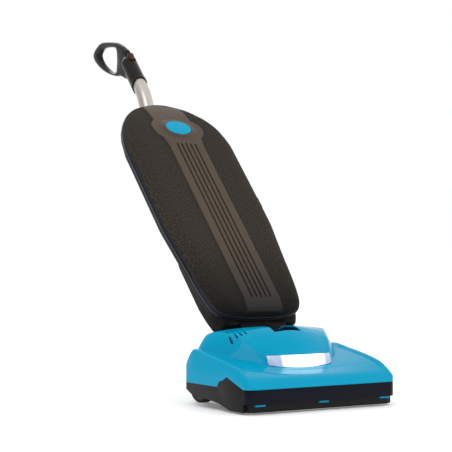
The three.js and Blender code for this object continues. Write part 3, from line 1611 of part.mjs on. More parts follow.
piece(head, "brush_core", brushCore(), "base");
piece(head, "bristle_row_a", bristles(0), "bristle");
piece(head, "bristle_row_b", bristles(Math.PI), "bristle");
piece(head, "brush_pulley", pulley(BRUSH_PULLEY_RADIUS, 5 + CLEARANCE, BRUSH_Y, BRUSH_HEIGHT), "nylon");

piece(head, "wheel_hub_left", wheelHub(-1), "nylon");
piece(head, "wheel_hub_right", wheelHub(1), "nylon");
piece(head, "tyre_left", tyre(-1), "rubber");
piece(head, "tyre_right", tyre(1), "rubber");
piece(head, "front_roller_left", roller(-1), "rubber");
piece(head, "front_roller_right", roller(1), "rubber");
piece(head, "release_pedal", pedal(), "bumper");

const handle = new THREE.Group();
handle.position.set(0, HINGE_Y, HINGE_HEIGHT);
handle.rotation.x = -THREE.MathUtils.degToRad(RECLINE);
machine.add(handle);
piece(handle, "neck", neck(), "base");
piece(handle, "rear_shell", rearShell(), "shell");
piece(handle, "zip_tape", zipTape(), "zip");
piece(handle, "bag_collar", bagCollar(), "nylon");
piece(handle, "dust_bag", dustBag(), "paper");
piece(handle, "handle_tube", handleTube(), "aluminium");
piece(handle, "tube_collar", collar(), "grip");
piece(handle, "tube_clamp", tubeClamp(690), "shell");
piece(handle, "grip_left", gripHalf(-1), "grip");
piece(handle, "grip_right", gripHalf(1), "grip");
piece(handle, "power_switch", rocker(), "red");

piece(handle, "bag_cover", cover(), "fabric");
piece(handle, "cover_spine", spine(), "spine");
piece(handle, "badge_ring", badgeRing(), "spine");
piece(handle, "badge", badge(), "badge");
piece(handle, "zip_slider", zipSlider(), "steel");
piece(handle, "zip_pull", zipPull(), "steel");
piece(handle, "battery_pack", battery(), "bumper");
piece(handle, "battery_button", batteryButton(), "hood");

// The origin goes under the middle of the whole machine, on the floor.
machine.updateMatrixWorld(true);
const extent = new THREE.Box3().setFromObject(machine, true);
machine.position.set(-(extent.min.x + extent.max.x) / 2, -(extent.min.y + extent.max.y) / 2, -extent.min.z);

export default machine;
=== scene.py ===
"""An upright vacuum cleaner: the surfaces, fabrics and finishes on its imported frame."""

from __future__ import annotations

import json
import logging
import math
from collections.abc import Callable, Iterable
from dataclasses import dataclass
from enum import Enum

import bpy
from mathutils import Matrix, Vector

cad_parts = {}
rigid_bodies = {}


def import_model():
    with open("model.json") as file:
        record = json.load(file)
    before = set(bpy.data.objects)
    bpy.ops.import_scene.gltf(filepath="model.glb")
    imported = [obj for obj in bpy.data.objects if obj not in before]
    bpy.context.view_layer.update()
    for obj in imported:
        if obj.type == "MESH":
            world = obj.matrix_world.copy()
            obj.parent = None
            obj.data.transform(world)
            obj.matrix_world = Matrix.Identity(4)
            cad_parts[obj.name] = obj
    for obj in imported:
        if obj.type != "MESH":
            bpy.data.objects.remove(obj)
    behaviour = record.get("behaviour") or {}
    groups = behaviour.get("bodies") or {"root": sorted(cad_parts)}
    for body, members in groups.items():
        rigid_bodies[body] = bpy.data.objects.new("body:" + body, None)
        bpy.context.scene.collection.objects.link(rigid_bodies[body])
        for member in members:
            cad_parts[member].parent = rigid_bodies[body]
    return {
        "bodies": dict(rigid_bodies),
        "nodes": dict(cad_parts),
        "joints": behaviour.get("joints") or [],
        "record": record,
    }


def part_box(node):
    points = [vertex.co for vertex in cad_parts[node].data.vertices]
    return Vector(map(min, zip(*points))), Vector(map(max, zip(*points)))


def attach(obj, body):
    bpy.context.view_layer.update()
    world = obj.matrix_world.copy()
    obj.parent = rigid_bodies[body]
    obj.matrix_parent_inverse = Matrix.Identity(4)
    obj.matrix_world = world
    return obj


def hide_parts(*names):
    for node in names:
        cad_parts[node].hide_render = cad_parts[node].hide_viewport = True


LOG = logging.getLogger("vacuum")
MM = 0.001

Table = tuple[tuple[float, float], ...]
Point = tuple[float, float, float]


# ---------------------------------------------------------------- curves and numbers


def smooth_at(table: Table, key: float) -> float:
    """Reads a table along a smooth line that never overshoots its points.

    Args:
        table: Rising keys with their values.
        key: Where to read.

    Returns:
        The value there, held level past either end.
    """
    if key <= table[0][0]:
        return table[0][1]
    if key >= table[-1][0]:
        return table[-1][1]
    i = next(k for k in range(len(table) - 1) if key <= table[k + 1][0])

    def secant(k: int) -> float:
        (x0, y0), (x1, y1) = table[k], table[k + 1]
        return (y1 - y0) / (x1 - x0)

    def slope(k: int) -> float:
        if k in (0, len(table) - 1):
            return secant(min(k, len(table) - 2))
        a, b = secant(k - 1), secant(k)
        return 0.0 if a * b <= 0 else 2 * a * b / (a + b)

    (x0, y0), (x1, y1) = table[i], table[i + 1]
    span = x1 - x0
    t = (key - x0) / span
    return (
        y0 * (1 + 2 * t) * (1 - t) ** 2
        + slope(i) * span * t * (1 - t) ** 2
        + y1 * t * t * (3 - 2 * t)
        + slope(i + 1) * span * t * t * (t - 1)
    )


def ease(low: float, high: float, value: float) -> float:
    """Rises smoothly from 0 at low to 1 at high."""
    t = min(1.0, max(0.0, (value - low) / (high - low)))
    return t * t * (3 - 2 * t)


def quarter(share: float, power: float) -> float:
    """Height of a rounded shoulder, 0 to 1, at a share of its run."""
    t = min(1.0, max(0.0, share))
    return (1 - (1 - t) ** power) ** (1 / power)


def closed_line(points: Iterable[tuple[float, float]], steps: int) -> list[Vector]:
    """A smooth closed line through points.

    Args:
        points: The points that the line passes through, in order.
        steps: How many points to make between each two.

    Returns:
        The points of the line, without a repeat of the first.
    """
    ring = [Vector(p) for p in points]
    count = len(ring)
    line = []
    for i in range(count):
        a, b, c, d = (ring[(i + k) % count] for k in (-1, 0, 1, 2))
        for k in range(steps):
            t = k / steps
            line.append(
                0.5
                * (
                    2 * b
                    + (c - a) * t
                    + (2 * a - 5 * b + 4 * c - d) * t * t
                    + (3 * b - a - 3 * c + d) * t**3
                )
            )
    return line


# ---------------------------------------------------------------- finishes


class Pattern(Enum):
    """How a finish varies over its surface."""

    GRAIN = "moulded grain"
    PAINT = "smooth gloss"
    WEAVE = "woven cloth"
    BRUSHED = "drawn metal"
    LAMP = "lit lens"
    FIBRE = "bristle or paper"
    # Painted shade: a moulded finish whose colour is darkened towards the bottom to stand in for shade.
    FADED = "moulded, darker low down"


@dataclass(frozen=True)
class Finish:
    """One finish: its colour, its gloss and its fine pattern.

    The second colour is what the pattern drifts towards, and pitch is the pattern's size in millimetres.
    """

    name: str
    slot: str
    colour: Point
    second: Point
    pattern: Pattern = Pattern.GRAIN
    roughness: float = 0.45
    spread: float = 0.08
    metallic: float = 0.0
    coat: float = 0.0
    sheen: float = 0.0
    pitch: float = 0.8
    depth: float = 0.1
    specular: float = 0.16


CYAN = Finish("cyan_gloss", "cyan_gloss", (0.0, 0.335, 0.545), (0.0, 0.315, 0.52), Pattern.PAINT, 0.12, 0.03,
              coat=0.05, specular=0.06)
BLACK_SATIN = Finish("black_satin", "black_satin", (0.0035, 0.004, 0.010), (0.006, 0.007, 0.014), roughness=0.36,
                     specular=0.1)
BASE_COAT = Finish("dark_base", "cast_base", (0.008, 0.007, 0.007), (0.013, 0.011, 0.010), roughness=0.48, pitch=1.1)
SHELL_BLACK = Finish("shell_black", "shell_black", (0.0035, 0.003, 0.0035), (0.006, 0.005, 0.005), roughness=0.42,
                     specular=0.08)
RIM_BLUE = Finish("rim_rubber", "shell_black", (0.006, 0.008, 0.017), (0.010, 0.012, 0.022), roughness=0.3,
                  coat=0.1)
# Its near-black first colour serves both the darker threads and the painted shade that the cloth goes to low on the
# cover.
CLOTH = Finish("woven_cover", "cover_fabric", (0.008, 0.0075, 0.0075), (0.082, 0.067, 0.053), Pattern.WEAVE, 0.85, 0.08,
               sheen=0.02, pitch=1.4, depth=0.6, specular=0.05)
# Painted shade darkens the spine towards the bottom.
SPINE = Finish("spine_satin", "spine_satin", (0.072, 0.052, 0.036), (0.086, 0.063, 0.045), Pattern.FADED, 0.34, 0.06,
               pitch=0.5, depth=0.05, specular=0.14)
# Painted shade: near-black laid in the spine's grooves to stand for the shade in them.
GROOVE_SHADE = Finish("groove_painted_shade", "spine_satin", (0.004, 0.0035, 0.004), (0.007, 0.006, 0.006), roughness=0.6)
BADGE = Finish("badge_cyan", "badge_cyan", (0.0, 0.33, 0.54), (0.0, 0.35, 0.57), Pattern.PAINT, 0.2, 0.03, coat=0.05,
               specular=0.06)
COPPER_EDGE = Finish("badge_edge", "badge_cyan", (0.12, 0.03, 0.015), (0.16, 0.05, 0.02), roughness=0.3)
TUBE = Finish("tube_satin", "tube_aluminium", (0.62, 0.58, 0.54), (0.52, 0.48, 0.45), Pattern.BRUSHED, 0.38, 0.06,
              metallic=1.0, pitch=0.6, depth=0.05)
GRIP = Finish("grip_gloss", "grip_gloss", (0.004, 0.0025, 0.002), (0.008, 0.005, 0.004), roughness=0.2, spread=0.06,
              coat=0.06, pitch=0.9, depth=0.05, specular=0.22)
SWITCH = Finish("switch_red", "switch_red", (0.045, 0.008, 0.006), (0.06, 0.011, 0.008), roughness=0.35)
LENS = Finish("lens_lit", "lens_clear", (0.36, 0.45, 0.68), (0.75, 0.82, 0.97), Pattern.LAMP, 0.08, 0.02, coat=0.6)
LENS_RIM = Finish("lens_rim", "lens_clear", (0.42, 0.60, 0.92), (0.55, 0.72, 0.97), Pattern.PAINT, 0.15, 0.02, coat=0.5)
NYLON = Finish("nylon_grey", "nylon_grey", (0.10, 0.10, 0.105), (0.14, 0.14, 0.145), roughness=0.5)
RUBBER = Finish("rubber_black", "rubber_black", (0.014, 0.014, 0.014), (0.026, 0.025, 0.024), roughness=0.72, pitch=1.4,
                depth=0.2)
STEEL = Finish("turned_steel", "motor_steel", (0.50, 0.50, 0.50), (0.42, 0.42, 0.41), Pattern.BRUSHED, 0.32, 0.08,
               metallic=1.0, pitch=0.5)
ZIP_DARK = Finish("zip_dark", "motor_steel", (0.045, 0.043, 0.043), (0.07, 0.067, 0.066), Pattern.BRUSHED, 0.35, 0.06,
                  metallic=1.0, pitch=0.5)
ALLOY = Finish("cast_alloy", "cast_alloy", (0.55, 0.56, 0.58), (0.46, 0.47, 0.49), Pattern.GRAIN, 0.42, 0.1,
               metallic=1.0, pitch=1.6, depth=0.2)
BOARD = Finish("board_green", "board_green", (0.015, 0.12, 0.045), (0.02, 0.17, 0.06), roughness=0.35, pitch=3.0)
BRISTLE = Finish("bristle", "nylon_grey", (0.03, 0.03, 0.033), (0.09, 0.09, 0.095), Pattern.FIBRE, 0.6, 0.1, pitch=0.6,
                 depth=0.8)
PAPER = Finish("bag_paper", "bag_paper", (0.62, 0.55, 0.43), (0.52, 0.45, 0.34), Pattern.FIBRE, 0.85, 0.05, pitch=1.8,
               depth=0.4)


class Palette:
    """Makes each finish's material once, from nodes alone."""

    # Painted shade: the dark blue-black that low parts of a finish are mixed towards.
    painted_shade_colour: Point = (0.004, 0.006, 0.010)

    def __init__(self) -> None:
        """Starts with no material made."""
        self.made: dict[str, bpy.types.Material] = {}

    def material(self, finish: Finish) -> bpy.types.Material:
        """Gives the material of a finish, making it the first time.

        Args:
            finish: The finish to look up.

        Returns:
            Its material.
        """
        if finish.name not in self.made:
            self.made[finish.name] = self._make(finish)
        return self.made[finish.name]

    def _make(self, finish: Finish) -> bpy.types.Material:
        """Builds the node tree of one finish.

        Args:
            finish: The finish to build.

        Returns:
            The new material.
        """
        material = bpy.data.materials.new(finish.name)
        material.use_nodes = True
        material.diffuse_color = (*finish.colour, 1.0)
        tree = material.node_tree
        shader = tree.nodes["Principled BSDF"]
        shader.inputs["Metallic"].default_value = finish.metallic
        shader.inputs["Specular IOR Level"].default_value = finish.specular
        shader.inputs["Coat Weight"].default_value = finish.coat
        shader.inputs["Coat Roughness"].default_value = 0.06
        shader.inputs["Sheen Weight"].default_value = finish.sheen
        shader.inputs["Sheen Roughness"].default_value = 0.5
        place = tree.nodes.new("ShaderNodeTexCoord").outputs["Object"]
        if finish.pattern is Pattern.WEAVE:
            place = tree.nodes.new("ShaderNodeUVMap").outputs["UV"]
            share, relief = self._weave(tree, place, finish)
        elif finish.pattern is Pattern.BRUSHED:
            share, relief = self._drawn(tree, place, finish)
        else:
            share, relief = self._grain(tree, place, finish)
        tint = tree.nodes.new("ShaderNodeMix")
        tint.data_type = "RGBA"
        tint.inputs["A"].default_value = (*finish.colour, 1.0)
        tint.inputs["B"].default_value = (*finish.second, 1.0)
        tree.links.new(share, tint.inputs["Factor"])
        colour = tint.outputs["Result"]
        # Painted shade: the colour is mixed towards a dark blue-black low on the housing.
        if finish.pattern is Pattern.FADED:
            shade = tree.nodes.new("ShaderNodeMix")
            shade.data_type = "RGBA"
            shade.inputs["A"].default_value = (*self.painted_shade_colour, 1.0)
            tree.links.new(colour, shade.inputs["B"])
            tree.links.new(self._painted_shade_rise(tree), shade.inputs["Factor"])
            colour = shade.outputs["Result"]
        tree.links.new(colour, shader.inputs["Base Color"])
        rough = tree.nodes.new("ShaderNodeMapRange")
        rough.inputs["To Min"].default_value = max(0.02, finish.roughness - finish.spread)
        rough.inputs["To Max"].default_value = min(1.0, finish.roughness + finish.spread)
        tree.links.new(share, rough.inputs["Value"])
        tree.links.new(rough.outputs["Result"], shader.inputs["Roughness"])
        bump = tree.nodes.new("ShaderNodeBump")
        bump.inputs["Distance"].default_value = finish.pitch * finish.depth * MM
        bump.inputs["Strength"].default_value = 0.35 if finish.pattern is not Pattern.PAINT else 0.02
        tree.links.new(relief, bump.inputs["Height"])
        tree.links.new(bump.outputs["Normal"], shader.inputs["Normal"])
        if finish.pattern is Pattern.LAMP:
            self._light_up(tree, place, shader)
        return material

    def _noise(self, tree: bpy.types.NodeTree, place: bpy.types.NodeSocket, pitch: float,
               detail: float) -> bpy.types.NodeSocket:
        """Adds fine noise.

        Args:
            tree: The tree to add to.
            place: The coordinates to read.
            pitch: The size of its blotches, in millimetres.
            detail: How many finer layers it has.

        Returns:
            The socket that carries it.
        """
        noise = tree.nodes.new("ShaderNodeTexNoise")
        noise.inputs["Scale"].default_value = 1.0 / (pitch * MM)
        noise.inputs["Detail"].default_value = detail
        tree.links.new(place, noise.inputs["Vector"])
        return noise.outputs["Fac"]

    def _join(self, tree: bpy.types.NodeTree, kind: str, a: bpy.types.NodeSocket,
              b: bpy.types.NodeSocket | float) -> bpy.types.NodeSocket:
        """Combines two values with one sum.

        Args:
            tree: The tree to add to.
            kind: The name of the sum.
            a: Its first value.
            b: Its second value, a socket or a number.

        Returns:
            The socket of the result.
        """
        node = tree.nodes.new("ShaderNodeMath")
        node.operation = kind
        tree.links.new(a, node.inputs[0])
        if isinstance(b, float):
            node.inputs[1].default_value = b
        else:
            tree.links.new(b, node.inputs[1])
        return node.outputs["Value"]

    def _grain(self, tree: bpy.types.NodeTree, place: bpy.types.NodeSocket,
               finish: Finish) -> tuple[bpy.types.NodeSocket, bpy.types.NodeSocket]:
        """A broad drift of tone under a fine moulded grain."""
        broad = self._noise(tree, place, finish.pitch * 40, 3.0)
        fine = self._noise(tree, place, finish.pitch, 2.0)
        mixed = self._join(tree, "MULTIPLY_ADD", broad, 0.6)
        tree.links.new(self._join(tree, "MULTIPLY", fine, 0.4), mixed.node.inputs[2])
        return mixed, fine

    def _drawn(self, tree: bpy.types.NodeTree, place: bpy.types.NodeSocket,
               finish: Finish) -> tuple[bpy.types.NodeSocket, bpy.types.NodeSocket]:
        """Fine streaks along the metal."""
        stretch = tree.nodes.new("ShaderNodeMapping")
        stretch.inputs["Rotation"].default_value = (math.radians(42.6), 0.0, 0.0)
        stretch.inputs["Scale"].default_value = (1.0, 1.0, 0.03)
        tree.links.new(place, stretch.inputs["Vector"])
        streak = self._noise(tree, stretch.outputs["Vector"], finish.pitch, 3.0)
        return streak, streak

    def _weave(self, tree: bpy.types.NodeTree, place: bpy.types.NodeSocket,
               finish: Finish) -> tuple[bpy.types.NodeSocket, bpy.types.NodeSocket]:
        """Crossing threads, with darker and lighter yarns mixed in, and painted shade that darkens the cloth towards
        the bottom.
        """
        waves = []
        for direction in ("X", "Y"):
            wave = tree.nodes.new("ShaderNodeTexWave")
            wave.bands_direction = direction
            wave.inputs["Scale"].default_value = 0.314 / (finish.pitch * MM)
            wave.inputs["Distortion"].default_value = 1.6
            wave.inputs["Detail Scale"].default_value = 2.0
            tree.links.new(place, wave.inputs["Vector"])
            waves.append(wave.outputs["Fac"])
        threads = self._join(tree, "MULTIPLY", waves[0], waves[1])
        yarns = self._noise(tree, place, finish.pitch * 1.7, 3.0)
        clear = tree.nodes.new("ShaderNodeMapRange")
        clear.inputs["From Min"].default_value = 0.40
        clear.inputs["From Max"].default_value = 0.60
        tree.links.new(yarns, clear.inputs["Value"])
        mixed = self._join(tree, "MULTIPLY", threads, 0.45)
        cloth = self._join(tree, "MULTIPLY_ADD", clear.outputs["Result"], 0.6)
        tree.links.new(mixed, cloth.node.inputs[2])
        # Painted shade: the cloth's tone is scaled down low on the housing, so it goes near black at the bottom.
        return self._join(tree, "MULTIPLY", cloth, self._painted_shade_rise(tree)), cloth

    def _painted_shade_rise(self, tree: bpy.types.NodeTree) -> bpy.types.NodeSocket:
        """Painted shade: a share that grows from the bottom of the housing to its middle, which darkens the colour low
        down.
        """
        spot = tree.nodes.new("ShaderNodeSeparateXYZ")
        tree.links.new(tree.nodes.new("ShaderNodeTexCoord").outputs["Object"], spot.inputs["Vector"])
        rise = tree.nodes.new("ShaderNodeMapRange")
        rise.interpolation_type = "SMOOTHSTEP"
        for socket, value in (("From Min", 0.14), ("From Max", 0.36), ("To Min", 0.08), ("To Max", 1.0)):
            rise.inputs[socket].default_value = value
        tree.links.new(spot.outputs["Z"], rise.inputs["Value"])
        return rise.outputs["Result"]

    def _light_up(self, tree: bpy.types.NodeTree, place: bpy.types.NodeSocket, shader: bpy.types.Node) -> None:
        """Makes the middle of the lens glow and leaves its two ends clear."""
        split = tree.nodes.new("ShaderNodeSeparateXYZ")
        tree.links.new(place, split.inputs["Vector"])
        off = self._join(tree, "ABSOLUTE", self._join(tree, "SUBTRACT", split.outputs["X"], 0.004), 0.0)
        glow = tree.nodes.new("ShaderNodeMapRange")
        glow.interpolation_type = "SMOOTHSTEP"
        for socket, value in (("From Min", 0.056), ("From Max", 0.044), ("To Min", 0.0), ("To Max", 1.0)):
            glow.inputs[socket].default_value = value
        tree.links.new(off, glow.inputs["Value"])
        power = self._join(tree, "MULTIPLY", glow.outputs["Result"], 1.7)
        shader.inputs["Emission Color"].default_value = (0.93, 0.97, 1.0, 1.0)
        tree.links.new(power, shader.inputs["Emission Strength"])


# ---------------------------------------------------------------- modelling


class Bench:
    """The workbench: the frame, the palette and the hand tools that every sub-assembly uses."""

    def __init__(self) -> None:
        """Loads the frame and works out the two directions that pieces are built in."""
        self.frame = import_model()
        self.palette = Palette()
        self.joints = {j["name"]: j for j in self.frame["joints"]}
        self.body_of = {n: b for b, names in self.frame["record"]["behaviour"]["bodies"].items() for n in names}
        recline = self.joints["handle_recline"]
        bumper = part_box("front_bumper")[0].y
        self.floor = Matrix.Translation((0, bumper, 0)) @ Matrix.Scale(MM, 4)
        lean = Matrix.Rotation(math.radians(recline["range_deg"][0]), 4, "X")
        self.lean = Matrix.Translation(recline["pos_m"]) @ lean @ Matrix.Scale(MM, 4)

    def focus(self, piece: bpy.types.Object) -> None:
        """Selects one piece alone and makes it the active one."""
        for other in bpy.context.selected_objects:
            other.select_set(False)
        piece.select_set(True)
        bpy.context.view_layer.objects.active = piece

    def clear(self) -> None:
        """Deselects everything."""
        for other in bpy.context.selected_objects:
            other.select_set(False)

    def sheet(self, name: str, columns: int, rows: int, place: Callable[[float, float], Point],
              unwrap: Callable[[float, float], tuple[float, float]] | None = None) -> bpy.types.Object:
        """Adds a grid and draws it over a surface.

        Args:
            name: The piece's name.
            columns: Faces across.
            rows: Faces along.
            place: Where the point at shares u and v, each 0 to 1, goes, in millimetres.
            unwrap: The cloth's own coordinates at that point, in metres, if the finish follows the cloth.

        Returns:
            The new piece, still in its own millimetres.
        """
        self.clear()
        bpy.ops.mesh.primitive_grid_add(x_subdivisions=columns, y_subdivisions=rows, size=1.0, calc_uvs=True)
        piece = bpy.context.active_object
        piece.name = piece.data.name = name
        mesh = piece.data
        spots = [(v.co.x + 0.5, v.co.y + 0.5) for v in mesh.vertices]
        if unwrap:
            layer = mesh.uv_layers.active.data
            for loop in mesh.loops:
                layer[loop.index].uv = unwrap(*spots[loop.vertex_index])
        for vertex, (u, v) in zip(mesh.vertices, spots):
            vertex.co = place(u, v)
        mesh.update()
        return piece

    def block(self, name: str, low: Point, high: Point) -> bpy.types.Object:
        """Adds a cube stretched between two corners, in millimetres."""
        self.clear()
        bpy.ops.mesh.primitive_cube_add(size=1.0)
        piece = bpy.context.active_object
        piece.name = piece.data.name = name
        for vertex in piece.data.vertices:
            vertex.co = [low[k] + (vertex.co[k] + 0.5) * (high[k] - low[k]) for k in range(3)]
        return piece

    def weld(self, piece: bpy.types.Object, gap: float = 0.01) -> None:
        """Merges doubled points and turns every face outwards."""
        self.focus(piece)
        bpy.ops.object.mode_set(mode="EDIT")
        bpy.ops.mesh.select_all(action="SELECT")
        bpy.ops.mesh.remove_doubles(threshold=gap)
        bpy.ops.mesh.normals_make_consistent(inside=False)
        bpy.ops.object.mode_set(mode="OBJECT")

    def rim(self, piece: bpy.types.Object, drop: Callable[[Vector], Vector]) -> None:
        """Extrudes the open border of a sheet and moves the new edge.

        Args:
            piece: The sheet.
            drop: Gives where a border point's new copy goes.
        """
        self.focus(piece)
        bpy.ops.object.mode_set(mode="EDIT")
        bpy.ops.mesh.select_all(action="DESELECT")
        bpy.ops.mesh.select_mode(type="EDGE")
        bpy.ops.mesh.select_non_manifold(extend=False, use_wire=False, use_boundary=True, use_multi_face=False,
                                         use_non_contiguous=False, use_verts=False)
        bpy.ops.mesh.extrude_region_move()
        bpy.ops.object.mode_set(mode="OBJECT")
        for vertex in piece.data.vertices:
            if vertex.select:
                vertex.co = drop(vertex.co)
        piece.data.update()

    def modify(self, piece: bpy.types.Object, kind: str, **settings: object) -> None:
        """Adds a modifier, sets it and applies it."""
        self.focus(piece)
        modifier = piece.modifiers.new(kind.lower(), kind)
        for key, value in settings.items():
            setattr(modifier, key, value)
        bpy.ops.object.modifier_apply(modifier=modifier.name)

    def thicken(self, piece: bpy.types.Object, wall: float) -> None:
        """Gives a sheet a wall, in millimetres, on its inner side."""
        self.modify(piece, "SOLIDIFY", thickness=wall, offset=-1.0, use_even_offset=False)

    def carve(self, piece: bpy.types.Object, cutters: list[bpy.types.Object]) -> None:
        """Cuts a piece with others, which are used up."""
        for cutter in cutters:
            self.modify(piece, "BOOLEAN", operation="DIFFERENCE", solver="EXACT", object=cutter)
            bpy.data.objects.remove(cutter)

    def fuse(self, piece: bpy.types.Object, others: list[bpy.types.Object]) -> None:
        """Joins other pieces into one mesh with this one."""
        self.focus(piece)
        for other in others:
            other.select_set(True)
        bpy.ops.object.join()

    def soften(self, piece: bpy.types.Object, width: float, segments: int = 2, angle: float = 32.0) -> None:
        """Rounds the sharp edges of a piece by a width in its own units."""
        self.modify(piece, "BEVEL", width=width, segments=segments, limit_method="ANGLE",
                    angle_limit=math.radians(angle), miter_outer="MITER_ARC", harden_normals=False)

    def finish(self, piece: bpy.types.Object, matrix: Matrix, finish: Finish, body: str, nodes: Iterable[str] = (),
               angle: float = 34.0) -> bpy.types.Object:
        """Puts a piece in place, dresses it and gives it to its body.

        Args:
            piece: The piece, in the millimetres it was built in.
            matrix: Where those millimetres lie in the frame.
            finish: Its finish.
            body: The body that it moves with.
            nodes: The plain solids that it stands for.
            angle: Edges sharper than this stay sharp in the shading.

        Returns:
            The same piece.
        """
        piece.data.transform(matrix)
        self.focus(piece)
        bpy.ops.object.shade_smooth_by_angle(angle=math.radians(angle))
        if not piece.data.materials:
            piece.data.materials.append(self.palette.material(finish))
        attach(piece, body)
        if nodes:
            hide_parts(*nodes)
        LOG.info("%s rides on %s, %d faces", piece.name, body, len(piece.data.polygons))
        return piece

    def dress(self, finish: Finish, *nodes: str) -> None:
        """Gives carried-over solids a finish."""
        for name in nodes:
            node = self.frame["nodes"][name]
            node.data.materials.clear()
            node.data.materials.append(self.palette.material(finish))
            self.focus(node)
            bpy.ops.object.shade_smooth_by_angle(angle=math.radians(28))

    def refine(self, node: str, finish: Finish, width: float, segments: int = 2,
               angle: float = 30.0) -> bpy.types.Object:
        """Stands a copy with rounded edges in for a carried-over solid.

        Args:
            node: The solid's name.
            finish: Its finish.
            width: How wide its edges are rounded, in millimetres.
            segments: Faces across each rounded edge.
            angle: Edges flatter than this are left alone.

        Returns:
            The new piece.
        """
        source = self.frame["nodes"][node]
        piece = bpy.data.objects.new(node + "_skin", source.data.copy())
        bpy.context.scene.collection.objects.link(piece)
        piece.data.materials.clear()
        piece.data.transform(Matrix.Scale(1 / MM, 4))
        self.focus(piece)
        bpy.ops.object.mode_set(mode="EDIT")
        bpy.ops.mesh.select_all(action="SELECT")
        bpy.ops.mesh.remove_doubles(threshold=0.002)
        bpy.ops.mesh.dissolve_limited(angle_limit=math.radians(0.8))
        bpy.ops.object.mode_set(mode="OBJECT")
        self.soften(piece, width, segments, angle)
        return self.finish(piece, Matrix.Scale(MM, 4), finish, self.body_of[node], [node])


# ---------------------------------------------------------------- floor head


